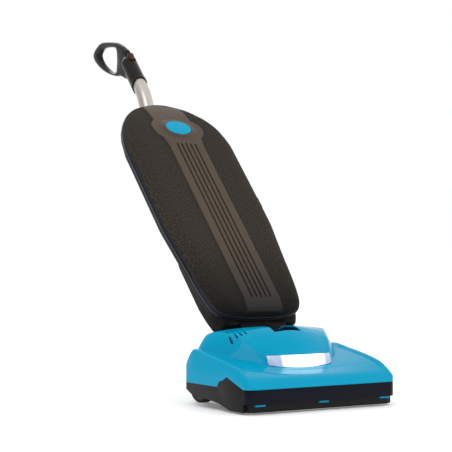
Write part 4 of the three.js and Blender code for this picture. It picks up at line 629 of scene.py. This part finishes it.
@dataclass
class FloorHead:
    """The floor head: its glossy hood, the lit lens, the bumper and the base under them. Sizes are in millimetres."""

    bench: Bench
    half_width: float = 177.5
    depth: float = 230.0
    corner: float = 18.0
    wall: float = 2.6
    round: float = 7.0
    dish: float = 12.0
    dish_edge: float = 15.0
    dome_crown: float = 16.5
    dome_front: float = 66.0
    front_sweep: float = 9.0
    lens_half: float = 77.0
    lens_low: float = 80.0
    lens_high: float = 104.5
    lens_bow: float = 8.5
    lens_rise: float = 7.5
    lens_lean: float = 0.36
    rail: Table = ((0, 49.5), (1.5, 52.5), (5, 57), (14, 66), (27, 75), (50, 87), (85, 96), (150, 107.5), (205, 115),
                   (216, 108), (230, 90))
    dome_top: Table = ((69, 78), (71, 82), (79, 105), (86, 113), (96, 125), (110, 139), (128, 151), (150, 158),
                       (178, 157), (205, 150), (218, 132), (230, 98))
    dome_base: Table = ((70, 78), (88, 84), (118, 110), (150, 135), (205, 164), (230, 168))
    dome_run: Table = ((88, 7), (118, 17), (150, 28))
    edge: Table = ((20.5, 48.3), (79, 68.3), (92, 60.8), (106, 57.3), (114, 46.3), (230, 46.3))
    neck_slot: tuple[Point, Point] = ((-32.5, 126, 20), (32.5, 260, 300))
    back_slots: tuple[tuple[float, float, float, float], ...] = (
        (-136.5, -109.5, 213, 79), (109.5, 136.5, 213, 79), (57, 83, 222, 68))
    back_reach: float = 260.0
    louvre_start: tuple[float, float] = (-120.0, 146.0)
    louvre_pitch: float = 10.5
    louvre_rows: float = 24.0
    louvre_shift: float = 5.0
    louvre_size: tuple[float, float] = (4.2, 17.0)

    def height(self, x: float, y: float) -> float:
        """Height of the hood's outer face at a place.

        Args:
            x: Across the head.
            y: Back from the bumper.

        Returns:
            The height above the floor.
        """
        across = abs(x)
        rail = smooth_at(self.rail, y)
        edge = max(0.0, across - (self.half_width - self.round))
        turn = self.round - math.sqrt(max(0.0, self.round**2 - edge**2))
        dish_half = self.half_width - self.dish_edge
        middle = self.dish * (1 - 0.65 * (across / dish_half) ** 2)
        inside = 1 - ease(dish_half - 3, dish_half + 6, across)
        deck = rail - middle * inside * ease(8, 55, y) - turn
        front = y - self.front_sweep * min(1.0, across / 80) ** 2
        base = smooth_at(self.dome_base, y)
        run = smooth_at(self.dome_run, y)
        rear = ease(150, 205, y)
        crown = self.dome_crown * (1 - 0.5 * rear) * min(1.0, across / (base - run)) ** 2
        fall = max(0.0, across - (base - run)) / run
        top = smooth_at(self.dome_top, front) - crown
        if fall >= 1 or y < self.dome_front:
            return deck
        return max(deck, top - (top - deck) * fall**1.5 * (1.6 - 0.6 * fall))

    def side_at(self, y: float) -> float:
        """Half the width of the head at a depth, round its front corners."""
        if y >= self.corner:
            return self.half_width
        return self.half_width - self.corner + math.sqrt(self.corner**2 - (self.corner - y) ** 2)

    def edge_at(self, y: float) -> float:
        """Height of the hood's lower edge, a line with firm corners."""
        for (y0, z0), (y1, z1) in zip(self.edge, self.edge[1:]):
            if y <= y1:
                return z0 + (z1 - z0) * max(0.0, (y - y0) / (y1 - y0))
        return self.edge[-1][1]

    def build(self) -> None:
        """Builds every surface of the head in turn."""
        self.hood()
        self.lens()
        self.trim()
        self.running_gear()
        self.works()

    def hood(self) -> None:
        """Draws the hood over its surface, walls its border and cuts its openings."""
        bench = self.bench

        def place(u: float, v: float) -> Point:
            y = self.depth * (0.65 * v + 0.35 * v * v)
            x = (2 * u - 1) * self.side_at(y)
            return x, y, self.height(x, y)

        hood = bench.sheet("hood_shell", 260, 170, place)

        def drop(point: Vector) -> Vector:
            return Vector((point.x, point.y, min(point.z - 0.4, self.edge_at(point.y))))

        bench.rim(hood, drop)
        bench.thicken(hood, self.wall)
        bench.carve(hood, self.openings())
        bench.finish(hood, bench.floor, CYAN, "head", ["hood"], angle=40)

    def openings(self) -> list[bpy.types.Object]:
        """Makes the bodies that cut the hood: neck slot, wheel and pedal slots, louvres and the lens seat."""
        bench = self.bench
        cutters = [bench.block("neck_slot", *self.neck_slot)]
        for x0, x1, y0, top in self.back_slots:
            cutters.append(bench.block("back_slot", (x0, y0, 0), (x1, self.back_reach, top)))
        cutters += [self.louvre(row, k) for row in range(2) for k in range(4)]

        def seat(u: float, v: float) -> Point:
            x = (2 * u - 1) * (self.lens_half + 1.2)
            y, z = self.lens_face(x, v * 1.06 - 0.03)
            return x, y - 6, z

        pocket = bench.sheet("lens_seat", 30, 6, seat)
        bench.modify(pocket, "SOLIDIFY", thickness=16.0, offset=1.0)
        bench.weld(pocket)
        cutters.append(pocket)
        return cutters

    def louvre(self, row: int, k: int) -> bpy.types.Object:
        """Makes one slot of the louvres high on the dome's left side."""
        x = self.louvre_start[0] + self.louvre_pitch * k + self.louvre_shift * row
        y = self.louvre_start[1] + self.louvre_rows * row
        slot = self.bench.block("louvre", (x, y, 125), (x + self.louvre_size[0], y + self.louvre_size[1], 175))
        self.bench.soften(slot, 1.6, 3)
        return slot

    def lens_face(self, x: float, share: float) -> tuple[float, float]:
        """The lens's outer face: depth and height at a share of its height, at a place across."""
        bow = min(1.0, abs(x) / self.lens_half) ** 2
        low = self.lens_low + self.lens_rise * bow
        z = low + (self.lens_high - low) * share
        y = 70 + (z - self.lens_low) * self.lens_lean + self.lens_bow * bow + 4.5 * max(0.0, abs(x) / 70 - 1) * 10
        return y, z

    def lens(self) -> None:
        """Makes the clear lens with its raised rim, lip and middle nub."""
        bench = self.bench

        def face(u: float, v: float) -> Point:
            x = (2 * u - 1) * self.lens_half
            y, z = self.lens_face(x, v)
            swell = 1.4 * math.sin(math.pi * v) ** 0.5
            return x, y - 0.4 - swell, z

        glass = bench.sheet("lens_glass", 80, 12, face)
        bench.thicken(glass, 2.4)
        bench.soften(glass, 0.5)
        bench.finish(glass, bench.floor, LENS, "head", ["headlight_lens"])

        def lip(u: float, v: float) -> Point:
            turn = 2 * math.pi * v
            x = (2 * u - 1) * (self.lens_half - 1)
            y, z = self.lens_face(x, -0.02)
            return x, y - 1.2 + 1.5 * math.cos(turn), z + 1.2 * math.sin(turn)

        edge = bench.sheet("lens_lip", 60, 10, lip)
        bench.weld(edge)
        nub = bench.block("lens_nub", (-1.4, 66.5, 77.2), (1.4, 70, 80.4))
        bench.soften(nub, 0.6, 3)
        bench.fuse(edge, [nub])
        bench.finish(edge, bench.floor, LENS_RIM, "head")

    def trim(self) -> None:
        """Rounds the bumper, the base, the tabs and the pedal."""
        bench = self.bench
        bench.refine("front_bumper", BLACK_SATIN, 0.9, 3)
        bench.refine("chassis", BASE_COAT, 0.5)
        for side in ("left", "middle", "right"):
            bench.refine(f"hood_tab_{side}", CYAN, 0.5)
        bench.refine("release_pedal", BLACK_SATIN, 1.2, 3)

    def running_gear(self) -> None:
        """Rounds the wheels and dresses what carries them."""
        bench = self.bench
        for side in ("left", "right"):
            bench.refine(f"tyre_{side}", RUBBER, 0.8, 3, 20)
            bench.refine(f"wheel_hub_{side}", NYLON, 0.6)
            bench.refine(f"wheel_cap_{side}", NYLON, 0.8, 3)
            bench.refine(f"front_roller_{side}", RUBBER, 1.0, 3)
        bench.dress(STEEL, "rear_axle", "roller_pin_left", "roller_pin_right", "pedal_pin", "pedal_spring",
                    "brush_plate")
        bench.dress(BLACK_SATIN, "plate_latch_left", "plate_latch_right")

    def works(self) -> None:
        """Dresses the motor, fan, brush and board inside the head."""
        bench = self.bench
        bench.dress(STEEL, "motor_case", "motor_rotor")
        bench.dress(ALLOY, "fan_housing", "fan_wheel", "brush_core")
        bench.dress(SHELL_BLACK, "suction_duct")
        bench.dress(NYLON, "hinge_bush_left", "hinge_bush_right", "brush_bearing_left", "brush_bearing_right",
                    "drive_pulley", "brush_pulley")
        bench.dress(RUBBER, "drive_belt")
        bench.dress(BOARD, "control_board")
        bench.dress(LENS_RIM, "lamp_board")
        bench.dress(BRISTLE, "bristle_row_a", "bristle_row_b")


# ---------------------------------------------------------------- bag housing


@dataclass
class Housing:
    """The bag housing: woven cover, spine with its badge, zip, rear shell and battery. Sizes are in millimetres.

    x runs across, b towards the back and h up the handle from the hinge.
    """

    bench: Bench
    zip_b: float = -21.9
    front_b: float = -48.6
    low_h: float = 128.4
    high_h: float = 766.4
    shoulder: float = 36.0
    half: Table = ((128, 30), (129, 40), (133, 65), (143.5, 92), (158, 105), (183, 112), (228, 118.5),
                   (278, 123), (335, 129), (391, 134.5), (465, 135), (617, 135), (665, 128), (690, 120.5), (713, 108),
                   (733, 90), (750, 66), (761, 34), (766.5, 6))
    line: Table = ((128, -21.9), (134, -38), (146, -45), (163, -48.6), (600, -48.6), (640, -47.4), (672, -44.5),
                   (702, -39.5), (732, -33), (767, -21.9))
    strip: float = 44.5
    strip_thick: float = 2.8
    shroud_half: float = 33.0
    shroud_radius: float = 70.0
    shroud_turns: tuple[float, float] = (14.0, 48.0)
    badge_h: float = 665.0
    flange: tuple[float, float] = (65.0, 47.5)
    groove_pitch: float = 11.5
    groove_half: float = 2.1
    groove_ends: tuple[float, float] = (162.0, 614.0)
    groove_depth: float = 3.0
    strip_ends: tuple[float, float] = (131.5, 765.5)
    ring_rise: float = 2.4

    def front(self, x: float, h: float) -> float:
        """Depth b of the cover's face at a place."""
        half = smooth_at(self.half, h)
        side = quarter((half - abs(x)) / self.shoulder, 2.2)
        lift = (smooth_at(self.line, h) - self.zip_b) / (self.front_b - self.zip_b)
        crown = 1.6 * math.sin(math.pi * min(1.0, max(0.0, (abs(x) - self.strip) / (half - self.strip + 0.1)))) ** 2
        return self.zip_b + (self.front_b - self.zip_b) * side * lift - crown * lift

    def build(self) -> None:
        """Builds every surface of the housing in turn."""
        self.cover()
        self.spine()
        self.badge()
        self.zip()
        self.shell()

    def cover(self) -> None:
        """Draws the padded cloth cover, with its own cloth coordinates."""

        def spot(u: float, v: float) -> tuple[float, float]:
            h = (self.low_h + self.high_h) / 2 - (self.high_h - self.low_h) / 2 * math.cos(math.pi * v)
            return smooth_at(self.half, h) * math.sin(math.pi * (u - 0.5)), h

        def place(u: float, v: float) -> Point:
            x, h = spot(u, v)
            return x, self.front(x, h), h

        def unwrap(u: float, v: float) -> tuple[float, float]:
            x, h = spot(u, v)
            return x * MM, h * MM

        cover = self.bench.sheet("cloth_cover", 150, 230, place, unwrap)
        self.bench.thicken(cover, 3.0)
        self.bench.finish(cover, self.bench.lean, CLOTH, "cover", ["bag_cover"], angle=60)

    def strip_half(self, h: float) -> float:
        """Half the spine's width: straight, out round the badge, then on to the top edge."""
        half = self.strip + 3.5 * ease(600, 630, h)
        rise = 1 - ((h - self.badge_h) / self.flange[1]) ** 2
        if rise > 0:
            half = max(half, self.flange[0] * math.sqrt(rise))
        return min(half, smooth_at(self.half, h) - 1.5)

    def groove(self, x: float, h: float) -> float:
        """How deep the nearest groove is at a place, 0 to 1."""
        row = round(x / self.groove_pitch)
        if abs(row) > 2:
            return 0.0
        low, high = self.groove_ends
        along = max(low + 2 - h, h - (high - abs(row) * 0.5), 0.0)
        away = math.hypot(x - row * self.groove_pitch, along)
        return 1.0 - ease(self.groove_half - 0.7, self.groove_half + 0.2, away)

    def spine(self) -> None:
        """Draws the grooved plastic spine that runs the length of the cover."""
        bench = self.bench
        low, high = self.strip_ends
        lines = self.spine_lines()

        def spot(u: float, v: float) -> tuple[float, float]:
            h = low + (high - low) * v
            share = lines[min(len(lines) - 1, round(u * (len(lines) - 1)))]
            return self.strip_half(h) * share, h

        def place(u: float, v: float) -> Point:
            x, h = spot(u, v)
            edge = quarter((self.strip_half(h) - abs(x)) / 2.0, 2)
            lift = self.strip_thick * (0.35 + 0.65 * edge)
            dished = self.ring_rise * self.dish(x, h)
            return x, self.front(x, h) - lift - dished + self.groove_depth * self.groove(x, h), h

        spine = bench.sheet("spine_strip", len(lines) - 1, 560, place)
        bench.rim(spine, lambda p: Vector((p.x, p.y + 3.2, p.z)))
        mesh = spine.data
        mesh.materials.append(bench.palette.material(SPINE))
        # Painted shade: the second slot is the near-black groove finish, given below to faces deep in a groove.
        mesh.materials.append(bench.palette.material(GROOVE_SHADE))
        for face in mesh.polygons:
            middle = face.center
            if self.groove(middle.x, middle.z) > 0.6:
                face.material_index = 1
        bench.finish(spine, bench.lean, SPINE, "cover", ["cover_spine"], angle=50)

    def spine_lines(self) -> list[float]:
        """Where the spine's columns stand, as shares of its half-width, closer together at each groove."""
        marks = {0.0, 1.0, 0.985, 0.965, 0.94}
        for row in range(3):
            middle = row * self.groove_pitch
            for off in (-3.4, -2.5, -2.1, -1.7, -1.3, 0.0, 1.3, 1.7, 2.1, 2.5, 3.4):
                marks.add(round(abs(middle + off) / self.strip, 4))
        marks |= {round(0.62 + 0.04 * k, 4) for k in range(8)}
        ordered = sorted(marks)
        return [-m for m in reversed(ordered[1:])] + ordered

    def dish(self, x: float, h: float) -> float:
        """How far the surface swells into the raised ring round the badge, 0 to 1."""
        away = math.hypot(x / 41.5, (h - self.badge_h) / 31.5)
        return 1.0 - ease(0.86, 1.16, away)

    def badge(self) -> None:
        """Makes the raised ring and the plain cyan disc in it."""
        bench = self.bench

        def ring(u: float, v: float) -> Point:
            turn = 2 * math.pi * u
            roll = 2 * math.pi * v
            rx = 34.0 + 3.6 * math.cos(roll)
            rh = 25.6 + 3.4 * math.cos(roll)
            x, h = rx * math.cos(turn), self.badge_h + rh * math.sin(turn)
            return x, self.front(x, h) - self.strip_thick - 2.4 - 1.1 * max(-0.6, math.sin(roll)), h

        frame = bench.sheet("badge_frame", 96, 16, ring)
        bench.weld(frame)
        bench.finish(frame, bench.lean, SPINE, "cover", ["badge_ring"], angle=60)

        def disc(u: float, v: float) -> Point:
            turn = 2 * math.pi * u
            x, h = 31.2 * v * math.cos(turn), self.badge_h + 23.0 * v * math.sin(turn)
            return x, self.front(x, h) - self.strip_thick - 2.9 - 0.8 * (1 - v * v), h

        plate = bench.sheet("badge_disc", 72, 14, disc)
        bench.weld(plate)
        bench.thicken(plate, -1.2)
        bench.finish(plate, bench.lean, BADGE, "cover", ["badge"], angle=60)

        def bead(u: float, v: float) -> Point:
            turn = 2 * math.pi * u
            roll = 2 * math.pi * v
            x = (31.0 + 0.5 * math.cos(roll)) * math.cos(turn)
            h = self.badge_h + (22.8 + 0.5 * math.cos(roll)) * math.sin(turn)
            return x, self.front(x, h) - self.strip_thick - 3.0 - 0.5 * math.sin(roll), h

        line = bench.sheet("badge_line", 96, 8, bead)
        bench.weld(line)
        bench.finish(line, bench.lean, COPPER_EDGE, "cover", angle=60)

    def outline(self, grow: float, steps: int = 5) -> list[Vector]:
        """The housing's closed outline in x and h, moved out by a distance."""
        heights = [128.0, 129.5, 133, 138, 143.5, 150, 158, 170, 183, 205, 228, 278, 335, 391, 465, 540, 617, 645, 665,
                   680, 690, 702, 713, 724, 733, 742, 750, 757, 762, 765.5]
        right = [(smooth_at(self.half, h), h) for h in heights]
        left = [(-x, h) for x, h in reversed(right)]
        line = closed_line(right + left, steps)
        moved = []
        for i, point in enumerate(line):
            along = line[(i + 1) % len(line)] - line[i - 1]
            out = Vector((along.y, -along.x)).normalized()
            moved.append(point + out * grow)
        return moved

    def loop_round(self, name: str, grow: float, depth: float, radius: float, squash: float = 1.0) -> bpy.types.Object:
        """Sweeps a round bead along the housing's outline.

        Args:
            name: The piece's name.
            grow: How far outside the outline the bead's middle lies.
            depth: Its middle in b.
            radius: Its radius in b.
            squash: Its half-width across as a share of the radius.

        Returns:
            The closed bead.
        """
        line = self.outline(grow)
        count = len(line)

        def place(u: float, v: float) -> Point:
            i = round(u * count) % count
            roll = 2 * math.pi * v
            along = line[(i + 1) % count] - line[i - 1]
            out = Vector((along.y, -along.x)).normalized()
            spot = line[i] + out * radius * squash * math.cos(roll)
            return spot.x, depth - radius * math.sin(roll), spot.y

        bead = self.bench.sheet(name, count, 10, place)
        self.bench.weld(bead)
        return bead

    def zip(self) -> None:
        """Makes the piping, the zip's tape, and its slider and pull."""
        bench = self.bench
        piping = self.loop_round("cover_piping", -0.6, self.zip_b - 1.8, 2.0)
        bench.finish(piping, bench.lean, RIM_BLUE, "cover", angle=60)
        tape = self.loop_round("zip_band", -1.6, self.zip_b + 0.6, 2.4, 0.6)
        bench.finish(tape, bench.lean, RUBBER, "handle", ["zip_tape"], angle=60)
        bench.refine("zip_slider", ZIP_DARK, 0.3)
        bench.refine("zip_pull", ZIP_DARK, 0.3)

    def shell(self) -> None:
        """Makes the rear shell's rim and rounds the shell, battery and neck."""
        bench = self.bench
        rim = self.loop_round("shell_rim", -0.8, self.zip_b + 7.2, 4.4, 0.45)
        bench.finish(rim, bench.lean, RIM_BLUE, "handle", angle=60)
        bench.refine("rear_shell", SHELL_BLACK, 1.0, 3, 24)
        bench.refine("neck", SHELL_BLACK, 1.2, 3)
        self.shroud()
        bench.refine("battery_pack", BLACK_SATIN, 0.8, 3)
        bench.refine("battery_button", CYAN, 0.8, 3)
        bench.refine("tube_clamp", SHELL_BLACK, 1.2, 3)
        bench.dress(PAPER, "dust_bag")
        bench.dress(NYLON, "bag_collar")


    def shroud(self) -> None:
        """Makes the curved flap on the neck that closes the hood's slot in front of it."""
        bench = self.bench
        first, last = self.shroud_turns

        def place(u: float, v: float) -> Point:
            turn = math.radians(first + (last - first) * v)
            x = self.shroud_half * (2 * u - 1)
            return x, -self.shroud_radius * math.sin(turn), self.shroud_radius * math.cos(turn)

        flap = bench.sheet("neck_shroud", 24, 24, place)
        bench.thicken(flap, 2.0)
        bench.soften(flap, 0.6, 2)
        bench.finish(flap, bench.lean, CYAN, "handle", angle=50)


# ---------------------------------------------------------------- handle


@dataclass
class Handle:
    """The bent tube and the loop grip on it. Sizes are in millimetres, in the housing's directions."""

    bench: Bench
    tube_radius: float = 17.0
    tube_path: Table = ((366, 31), (740, 31), (760, 29.6), (780, 24.8), (801, 18.5), (823, 11.6), (842, 7.3),
                        (860, 6.1), (925, 6.1))
    grip_half: float = 8.0
    barrel_radius: float = 19.0
    barrel_b: float = 6.1
    barrel_ends: tuple[float, float] = (846.0, 962.0)
    end_h: float = 875.5
    end_slant: float = 0.4
    outer: tuple[tuple[float, float], ...] = (
        (-13, 958), (-8, 984), (2, 1008), (13, 1028), (37, 1057), (62, 1082), (88, 1092), (108, 1093), (116, 1082),
        (112.5, 1056), (100.5, 1022), (81, 986), (63, 961), (48, 946), (34, 920), (12, 915))
    inner: tuple[tuple[float, float], ...] = (
        (32, 999), (24, 1009), (22, 1015), (28, 1026), (50, 1050.5), (68, 1064.5), (81, 1066.5), (88, 1064),
        (90.5, 1053), (90, 1034), (82.5, 1007), (76, 991), (68, 977.5), (58, 972), (49, 981), (40, 990))

    def build(self) -> None:
        """Builds the tube, the grip and the switch."""
        self.tube()
        self.grip()
        bench = self.bench
        bench.refine("tube_collar", GRIP, 0.7, 3)
        bench.refine("power_switch", SWITCH, 0.7, 3)

    def tube(self) -> None:
        """Sweeps the round tube along its bent path."""
        bench = self.bench
        low, high = self.tube_path[0][0], self.tube_path[-1][0]

        def place(u: float, v: float) -> Point:
            h = low + (high - low) * v
            roll = 2 * math.pi * u
            lean = (smooth_at(self.tube_path, h + 2) - smooth_at(self.tube_path, h - 2)) / 4
            tilt = math.atan(lean)
            b = smooth_at(self.tube_path, h)
            across = self.tube_radius * math.sin(roll)
            return (self.tube_radius * math.cos(roll), b + across * math.cos(tilt), h - across * math.sin(tilt))

        tube = bench.sheet("bent_tube", 48, 120, place)
        bench.weld(tube)
        bench.thicken(tube, 1.5)
        bench.finish(tube, bench.lean, TUBE, "handle", ["handle_tube"], angle=50)

    def grip(self) -> None:
        """Sweeps the loop between its two outlines, sets it on the barrel and blends the two."""
        bench = self.bench
        steps = 6
        outer = closed_line(self.outer, steps)
        inner = closed_line(self.inner, steps)
        count = len(outer)

        def loop(u: float, v: float) -> Point:
            i = round(u * count) % count
            roll = 2 * math.pi * v
            middle = (outer[i] + inner[i]) / 2
            arm = (outer[i] - inner[i]) / 2
            c, s = math.cos(roll), math.sin(roll)
            c = math.copysign(abs(c) ** 0.8, c)
            s = math.copysign(abs(s) ** 0.8, s)
            spot = middle + arm * c
            return self.grip_half * s, spot.x, spot.y

        body = bench.sheet("grip_shell", count, 28, loop)
        bench.weld(body)

        def barrel(u: float, v: float) -> Point:
            roll = 2 * math.pi * u
            low, high = self.barrel_ends
            h = low + (high - low) * v
            radius = self.barrel_radius * (1 - 0.5 * ease(0.86, 1.0, v))
            return radius * math.cos(roll), self.barrel_b + radius * math.sin(roll), h

        sleeve = bench.sheet("grip_sleeve", 48, 30, barrel)
        self.cap(sleeve)
        web = bench.block("grip_web", (-8, 4, 846), (8, 31, 935))
        bench.soften(web, 5, 4)
        bench.fuse(body, [sleeve, web])
        bench.modify(body, "REMESH", mode="VOXEL", voxel_size=1.1)
        bench.modify(body, "SMOOTH", factor=0.5, iterations=6)
        bench.carve(body, [self.recess(), self.bore(), self.below()])
        bench.finish(body, bench.lean, GRIP, "handle", ["grip_left", "grip_right"], angle=50)

    def cap(self, piece: bpy.types.Object) -> None:
        """Closes the two open ends of a tube."""
        bench = self.bench
        bench.weld(piece)
        bench.focus(piece)
        bpy.ops.object.mode_set(mode="EDIT")
        bpy.ops.mesh.select_all(action="DESELECT")
        bpy.ops.mesh.select_mode(type="EDGE")
        bpy.ops.mesh.select_non_manifold(extend=False, use_wire=False, use_boundary=True, use_multi_face=False,
                                         use_non_contiguous=False, use_verts=False)
        bpy.ops.mesh.fill()
        bpy.ops.mesh.select_all(action="SELECT")
        bpy.ops.mesh.normals_make_consistent(inside=False)
        bpy.ops.object.mode_set(mode="OBJECT")

    def recess(self) -> bpy.types.Object:
        """The pocket for the switch."""
        pocket = self.bench.block("switch_pocket", (-9, -40, 933), (9, -3, 961))
        self.bench.soften(pocket, 1.5, 3)
        return pocket

    def below(self) -> bpy.types.Object:
        """Everything below the grip's slanting end."""
        slab = self.bench.block("grip_end", (-40, -70, -90), (40, 70, 0))
        turn = Matrix.Rotation(-math.atan(self.end_slant), 4, "X")
        slab.data.transform(Matrix.Translation((0, self.barrel_b, self.end_h)) @ turn)
        return slab

    def bore(self) -> bpy.types.Object:
        """The bore that the tube goes into."""
        bench = self.bench
        bench.clear()
        bpy.ops.mesh.primitive_cylinder_add(vertices=48, radius=self.tube_radius + 0.3, depth=100)
        bore = bpy.context.active_object
        bore.data.transform(Matrix.Translation((0, self.barrel_b, 880)))
        return bore


# ---------------------------------------------------------------- studio


@dataclass
class Studio:
    """The pale floor, the soft lights and the camera."""

    eye: Point = (-1.7666, -2.918262, 0.3441)
    aim: Point = (90.3, 0.0, -32.3)
    lens: float = 122.65
    pale: Point = (0.97, 0.97, 0.97)
    bright_side: Point = (0.6, 0.35, 0.8)

    def build(self, palette: Palette) -> None:
        """Sets up the floor, the sky, the lights and the camera."""
        bpy.ops.mesh.primitive_plane_add(size=60)
        floor = bpy.context.active_object
        floor.name = "studio_floor"
        floor.data.materials.append(self.floor_material())
        world = bpy.data.worlds.new("studio_sky")
        world.use_nodes = True
        background = world.node_tree.nodes["Background"]
        background.inputs["Color"].default_value = (1.0, 1.0, 1.0, 1.0)
        world.node_tree.links.new(self.sky(world.node_tree), background.inputs["Strength"])
        bpy.context.scene.world = world
        self.light("key", (-1.9, -1.6, 2.4), (0.0, -0.2, 0.2), 1.6, 26)
        self.light("fill", (2.4, -1.6, 1.6), (0.0, -0.1, 0.3), 1.8, 6)
        self.light("back", (0.4, 2.6, 2.2), (0.0, 0.1, 0.3), 1.6, 12)
        camera = bpy.data.cameras.new("studio_camera")
        camera.lens = self.lens
        camera.sensor_width = 36.0
        camera.clip_end = 100.0
        eye = bpy.data.objects.new("studio_camera", camera)
        eye.location = self.eye
        eye.rotation_euler = [math.radians(a) for a in self.aim]
        bpy.context.scene.collection.objects.link(eye)
        bpy.context.scene.camera = eye
        bpy.context.scene.view_settings.view_transform = "Standard"

    def sky(self, tree: bpy.types.NodeTree) -> bpy.types.NodeSocket:
        """A bright sky that falls off towards the shaded side of the room."""
        place = tree.nodes.new("ShaderNodeTexCoord").outputs["Generated"]
        side = tree.nodes.new("ShaderNodeVectorMath")
        side.operation = "DOT_PRODUCT"
        side.inputs[1].default_value = self.bright_side
        tree.links.new(place, side.inputs[0])
        level = tree.nodes.new("ShaderNodeMapRange")
        level.interpolation_type = "SMOOTHSTEP"
        for socket, value in (("From Min", -0.6), ("From Max", 0.5), ("To Min", 0.25), ("To Max", 1.0)):
            level.inputs[socket].default_value = value
        tree.links.new(side.outputs["Value"], level.inputs["Value"])
        return level.outputs["Result"]

    def floor_material(self) -> bpy.types.Material:
        """A pale matt floor."""
        material = bpy.data.materials.new("studio_floor")
        material.use_nodes = True
        shader = material.node_tree.nodes["Principled BSDF"]
        shader.inputs["Base Color"].default_value = (*self.pale, 1.0)
        shader.inputs["Roughness"].default_value = 0.7
        shader.inputs["Specular IOR Level"].default_value = 0.2
        shader.inputs["Emission Color"].default_value = (1.0, 1.0, 1.0, 1.0)
        shader.inputs["Emission Strength"].default_value = 0.14
        return material

    def light(self, name: str, place: Point, target: Point, size: float, power: float) -> None:
        """Hangs one square soft light.

        Args:
            name: The light's name.
            place: Where it hangs.
            target: What it faces.
            size: The length of its side.
            power: Its power in watts.
        """
        lamp = bpy.data.lights.new(name, "AREA")
        lamp.size = size
        lamp.energy = power
        holder = bpy.data.objects.new(name, lamp)
        holder.location = place
        aim = Vector(target) - Vector(place)
        holder.rotation_euler = aim.to_track_quat("-Z", "Y").to_euler()
        bpy.context.scene.collection.objects.link(holder)


def main() -> None:
    """Builds the cleaner on its frame, in order, and logs each piece with its face count."""
    logging.basicConfig(level=logging.INFO, format="%(message)s")
    bench = Bench()
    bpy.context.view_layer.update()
    Studio().build(bench.palette)
    for part in (FloorHead(bench), Housing(bench), Handle(bench)):
        part.build()
        LOG.info("%s is done", type(part).__name__)


if __name__ == "__main__":
    main()
